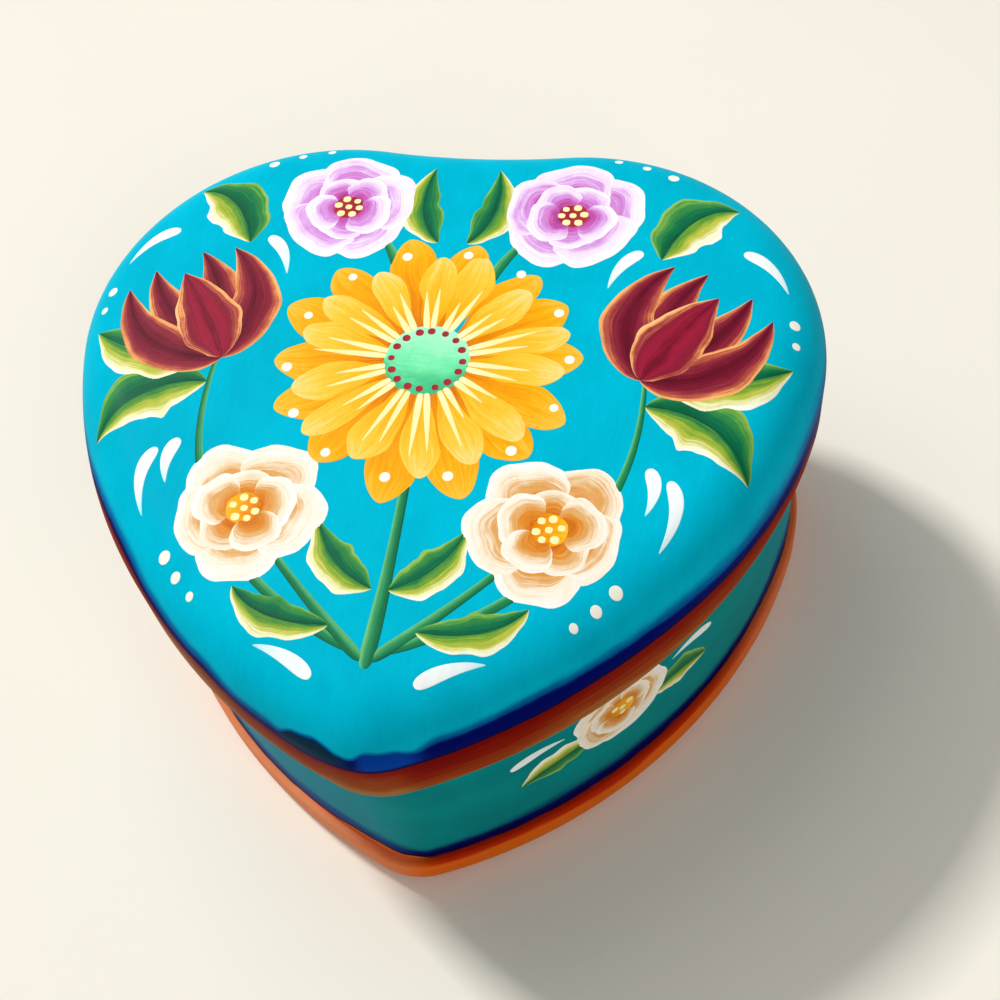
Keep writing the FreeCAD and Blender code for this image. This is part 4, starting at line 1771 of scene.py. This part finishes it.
        eye = self.hand.dots(np.zeros((1, 2)), self.daisy_eye, layer=5.2)
        self.brush_on("daisy_eye", eye.placed(self.daisy_spot), MINT)
        rim = self.small_hand.ring(self.eye_dots, 0.0, self.dot_uneven)
        spots = self.small_hand.spots_round(rim, self.eye_dot_share * self.daisy_eye)
        dots = self.small_hand.dots(spots, radius=0.5, layer=6.0)
        self.brush_on("daisy_eye_dots", dots.placed(self.daisy_spot), ROSE_DOT)
        tips = self.small_hand.ring(count, self.daisy_back_turn, self.dot_uneven)
        spots = self.small_hand.spots_round(tips, self.tip_dot_share * self.daisy_reach)
        dots = self.small_hand.dots(spots, radius=0.62, layer=4.6)
        self.brush_on("daisy_tip_dots", dots.placed(self.daisy_spot), CREAM)

    def paint_tulips(self) -> None:
        """Paint a tulip on each lobe: two outer petals, two inner ones and a front one."""
        inner = with_mirror(((1.0, 0.0), (10.0, 5.0), (19.0, 3.4)), MIRROR_ACROSS_X)
        outer = with_mirror(((0.0, 0.0), (6.0, 10.5), (17.5, 7.6)), MIRROR_ACROSS_X)
        front = np.array([[(0.0, 0.0), (8.0, 0.8), (16.5, 0.0)]])
        for name, ribs, half_width, layer, paint in (
                ("inner", inner, 3.0, 2.0, MAROON_PETAL),
                ("outer", outer, 3.6, 2.8, MAROON_PETAL),
                ("front", front, 4.2, 3.8, CRIMSON_PETAL)):
            halves = [self.hand.blades(ribs, half_width, side, layer + self.tulip_layer_step * side,
                                       self.tulip_teeth, self.tulip_belly) for side in (1.0, -1.0)]
            tulip = Strokes.joined(halves).placed(self.tulip_spot, self.tulip_heading)
            self.brush_on(f"tulip_{name}_petals", tulip.both_sides(), paint)

    def paint_blossoms(self) -> None:
        """Paint the round blossoms: pink ones at the notch, peach ones towards the tip."""
        for name, spot, paint, heart_paint, turn in (
                ("pink", self.pink_spot, PINK_PETAL, ROSE_DOT, 20.0),
                ("peach", self.peach_spot, PEACH_PETAL, AMBER_PETAL, 50.0)):
            blossom = self.hand.blossom(turn, self.blossom_reach, self.blossom_half_widths).placed(spot)
            self.brush_on(f"{name}_blossom_petals", blossom.both_sides(), paint)
            heart = self.hand.dots(np.zeros((1, 2)), self.blossom_heart, layer=4.8).placed(spot)
            self.brush_on(f"{name}_blossom_hearts", heart.both_sides(), heart_paint)
            ring = self.small_hand.ring(self.blossom_eye_dots, turn=10.0, uneven=0.1)
            round_spots = self.small_hand.spots_round(ring, self.blossom_eye)
            spots = np.concatenate([np.zeros((1, 2)), round_spots])
            eye = self.small_hand.dots(spots, radius=0.55, layer=5.2).placed(spot)
            self.brush_on(f"{name}_blossom_eyes", eye.both_sides(), PALE_RAY)

    def paint_white_strokes(self) -> None:
        """Paint the white commas and dots that fill the ground."""
        commas = np.array([
            [(6.0, -39.5), (9.0, -36.8), (13.5, -36.0)],
            [(31.8, -10.5), (34.2, -14.0), (31.4, -20.0)],
            [(29.2, -9.0), (31.0, -11.5), (29.4, -15.5)],
            [(25.5, 25.0), (22.5, 23.5), (21.5, 18.5)],
            [(38.5, 26.0), (42.5, 25.0), (44.5, 20.0)],
        ])
        strokes = self.hand.commas(commas, half_width=0.85, layer=1.6)
        self.brush_on("white_commas", strokes.both_sides(), WHITE)
        spots = np.array([(27.0, -25.5), (25.0, -28.0), (22.7, -30.3), (45.5, 15.0), (45.8, 11.8),
                          (20.5, 42.6), (24.5, 41.4), (28.3, 39.6)])
        radii = np.array([0.75, 0.62, 0.5, 0.7, 0.55, 0.5, 0.62, 0.75])
        self.brush_on("white_dots", self.small_hand.dots(spots, radii, layer=1.6).both_sides(), CREAM)

    def build(self) -> list[bpy.types.Object]:
        """Paint everything in the order of its layers.

        Returns:
            The brushwork's pieces.
        """
        self.paint_stems()
        self.paint_leaves()
        self.paint_daisy()
        self.paint_tulips()
        self.paint_blossoms()
        self.paint_white_strokes()
        return self.pieces


@dataclass
class WallSprigs:
    """A small blossom with leaves on each flank of the wall."""

    box: PaintedBox
    relief: PaintRelief
    seed: int = 41
    spot_share: float = 0.112
    left_spot_share: float = 0.2
    height: float = 24.0
    dot_points: int = 13
    seed_step: int = 10
    turn: float = 70.0
    reach: float = 7.6
    half_widths: Span = (5.0, 3.2)
    leaf_half_width: float = 3.0
    leaf_teeth: float = 0.13
    heart_radius: float = 1.9

    def build(self) -> list[bpy.types.Object]:
        """Paint the sprigs of the right and left flank.

        Returns:
            The brushwork's pieces.
        """
        hand = BrushShapes(self.seed)
        small_hand = BrushShapes(self.seed + 1, self.dot_points)
        girth = self.box.outline.girth()
        ribs = with_mirror(((-5.0, -3.0), (-11.0, -3.0), (-16.0, -6.0)), MIRROR_ACROSS_Y)
        commas = with_mirror(((-17.0, 0.0), (-13.0, 2.5), (-9.0, 1.5)), MIRROR_ACROSS_Y)
        middle = np.zeros((1, 2))
        eye = np.array([(0.0, 0.0), (1.2, 0.6), (-1.2, 0.6), (0.0, -1.3)])
        shares = {"right": self.spot_share, "left": 1 - self.left_spot_share}
        pieces = []
        for number, (side, share) in enumerate(shares.items()):
            spot = (share * girth, self.height)
            petals = hand.blossom(self.turn, self.reach, self.half_widths)
            dark = hand.blades(ribs, self.leaf_half_width, side=1.0, layer=1.0, teeth=self.leaf_teeth)
            light = hand.blades(ribs, self.leaf_half_width, side=-1.0, layer=1.4, teeth=self.leaf_teeth)
            work = (
                ("leaf_dark_halves", dark, DARK_LEAF),
                ("leaf_light_halves", light, LIGHT_LEAF),
                ("petals", petals, PEACH_PETAL),
                ("heart", small_hand.dots(middle, self.heart_radius, layer=4.8), AMBER_PETAL),
                ("eye", small_hand.dots(eye, radius=0.55, layer=5.2), PALE_RAY),
                ("commas", hand.commas(commas, half_width=0.8, layer=1.6), WHITE),
            )
            pieces += [self.relief.brush_on(f"{side}_sprig_{name}", self.box, strokes.placed(spot), paint,
                                            self.seed + self.seed_step * number)
                       for name, strokes, paint in work]
        return pieces


@dataclass(frozen=True)
class PhotoCamera:
    """The camera of the photograph, fitted to the box's outlines: angles in radians, lengths in metres."""

    azimuth: float = -0.29047
    elevation: float = 0.99191
    roll: float = -0.1755
    distance: float = 0.228933
    right: float = -0.00513
    down: float = 0.013642
    focal_pixels: float = 1500.0
    image_pixels: float = 1000.0
    sensor_mm: float = 36.0
    clip_start: float = 0.01

    def build(self) -> bpy.types.Object:
        """Place the camera: turn about Z, tip down, roll, then step back.

        Returns:
            The camera.
        """
        tip = Matrix.Rotation(QUARTER_TURN + self.elevation, 3, "X")
        turn = Matrix.Rotation(self.roll, 3, "Z") @ tip @ Matrix.Rotation(self.azimuth, 3, "Z")
        place = turn.transposed() @ -Vector((self.right, self.down, self.distance))
        axes = Matrix((turn[0], -turn[1], -turn[2])).transposed()
        lens = bpy.data.cameras.new("photo_camera")
        lens.sensor_width = self.sensor_mm
        lens.lens = self.focal_pixels * self.sensor_mm / self.image_pixels
        lens.clip_start = self.clip_start
        camera = bpy.data.objects.new("photo_camera", lens)
        camera.matrix_world = Matrix.Translation(place) @ axes.to_4x4()
        bpy.context.scene.collection.objects.link(camera)
        bpy.context.scene.camera = camera
        return camera


@dataclass(frozen=True)
class SoftBox:
    """A square lamp that faces the box from a direction, set by the light that it lays on the table."""

    name: str
    direction: Triple
    distance: float
    width: float
    level: float

    def build(self) -> None:
        """Hang the lamp; a level of 1 lights a level white surface at the origin fully."""
        towards = Vector(self.direction).normalized()
        lamp = bpy.data.lights.new(self.name, "AREA")
        lamp.size = self.width
        lamp.energy = self.level * math.pi ** 2 * self.distance ** 2 / towards.z
        lamp_object = bpy.data.objects.new(self.name, lamp)
        lamp_object.location = towards * self.distance
        lamp_object.rotation_euler = towards.to_track_quat("Z", "Y").to_euler()
        bpy.context.scene.collection.objects.link(lamp_object)


@dataclass(frozen=True)
class Studio:
    """A pale floor under a far window at the upper left, a near ceiling lamp, a weak fill and a dim sky."""

    floor_radius: float = 6.0
    floor_corners: int = 64
    floor_drop: float = 0.00005
    floor_colour: Colour = srgb(243, 238, 225)
    floor_cloud: Mottling = Mottling((0.01, 0.01, 0.01))
    floor_tone: float = 0.06
    floor_sheen: Sheen = Sheen(roughness=0.8, uneven=0.0, relief_depth=0.01, gloss=0.1)
    sky_colour: Colour = (1.0, 1.0, 1.0, 1.0)
    sky_strength: float = 0.23
    backdrop_strength: float = 0.85
    lamps: tuple[SoftBox, ...] = (
        SoftBox("window", (-0.57, 0.363, 0.737), 30.0, 3.6, 0.54),
        SoftBox("ceiling", (-0.35, 0.3, 0.89), 0.38, 0.25, 0.2),
        SoftBox("fill", (0.5, -0.6, 0.62), 0.9, 0.5, 0.13))

    def lay_floor(self) -> None:
        """Lay the floor: a flat disc just under the box."""
        turn = np.linspace(0, FULL_TURN, self.floor_corners, endpoint=False)
        rim = self.floor_radius * np.stack([np.cos(turn), np.sin(turn)], -1)
        paint = Paint.named("floor_paint")
        cloud = self.floor_cloud.value(paint)
        colour = paint.tone(self.floor_colour, 1 + cloud.swing(self.floor_tone))
        finish = paint.finish(colour, cloud, cloud, self.floor_sheen)
        faces = [list(range(self.floor_corners))]
        floor = add_piece("floor", raised(rim, -self.floor_drop) / MM, faces, {}, finish)

    def light_sky(self) -> None:
        """Light the sky: dim on the box, pale where the camera or a reflection sees it."""
        bpy.context.scene.world = bpy.data.worlds.new("sky")
        sky = Paint(bpy.context.scene.world)
        camera, glossy, clear = (sky.node("ShaderNodeLightPath", output=f"Is {kind} Ray")
                                 for kind in ("Camera", "Glossy", "Transmission"))
        seen = camera.either(glossy).either(clear)
        strength = self.sky_strength + (self.backdrop_strength - self.sky_strength) * seen
        light = sky.node("ShaderNodeBackground", inputs={"Color": self.sky_colour, "Strength": strength})
        sky.node("ShaderNodeOutputWorld", inputs={"Surface": light})

    def build(self) -> None:
        """Lay the floor, hang the lamps and light the sky."""
        bpy.context.scene.view_settings.view_transform = "Standard"
        self.lay_floor()
        for lamp in self.lamps:
            lamp.build()
        self.light_sky()


def put_on(piece: bpy.types.Object, body: str, node: Optional[str] = None) -> None:
    """Let a piece ride a body, and hide the CAD node that it stands for.

    Args:
        piece: The piece.
        body: The body that carries it.
        node: The CAD node that it replaces, if any.
    """
    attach(piece, body)
    if node:
        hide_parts(node)
    log.info("%s rides on %s: %d faces", piece.name, body, len(piece.data.polygons))


def main() -> None:
    """Build the box, its paint and the studio, and report each piece."""
    logging.basicConfig(level=logging.INFO, format="%(name)s: %(message)s")
    low, high = node_span("lid_board")
    outline = HeartOutline.of_size((high.x - low.x) / 2, high.y - low.y)
    lid = PaintedLid(outline)
    box = PaintedBox(outline)
    relief = PaintRelief()
    put_on(box.build_base(BandPaint()), "box", "base_board")
    put_on(box.build_wall(WallPaint()), "box", "box_wall")
    put_on(lid.build(ShadedLidPaint()), "lid", "lid_board")
    put_on(box.build_plug(BareWood()), "lid", "lid_plug")
    for piece in FlowerSpray(lid, relief).build():
        put_on(piece, "lid")
    for piece in WallSprigs(box, relief).build():
        put_on(piece, "box")
    Studio().build()
    PhotoCamera().build()


if __name__ == "__main__":
    main()
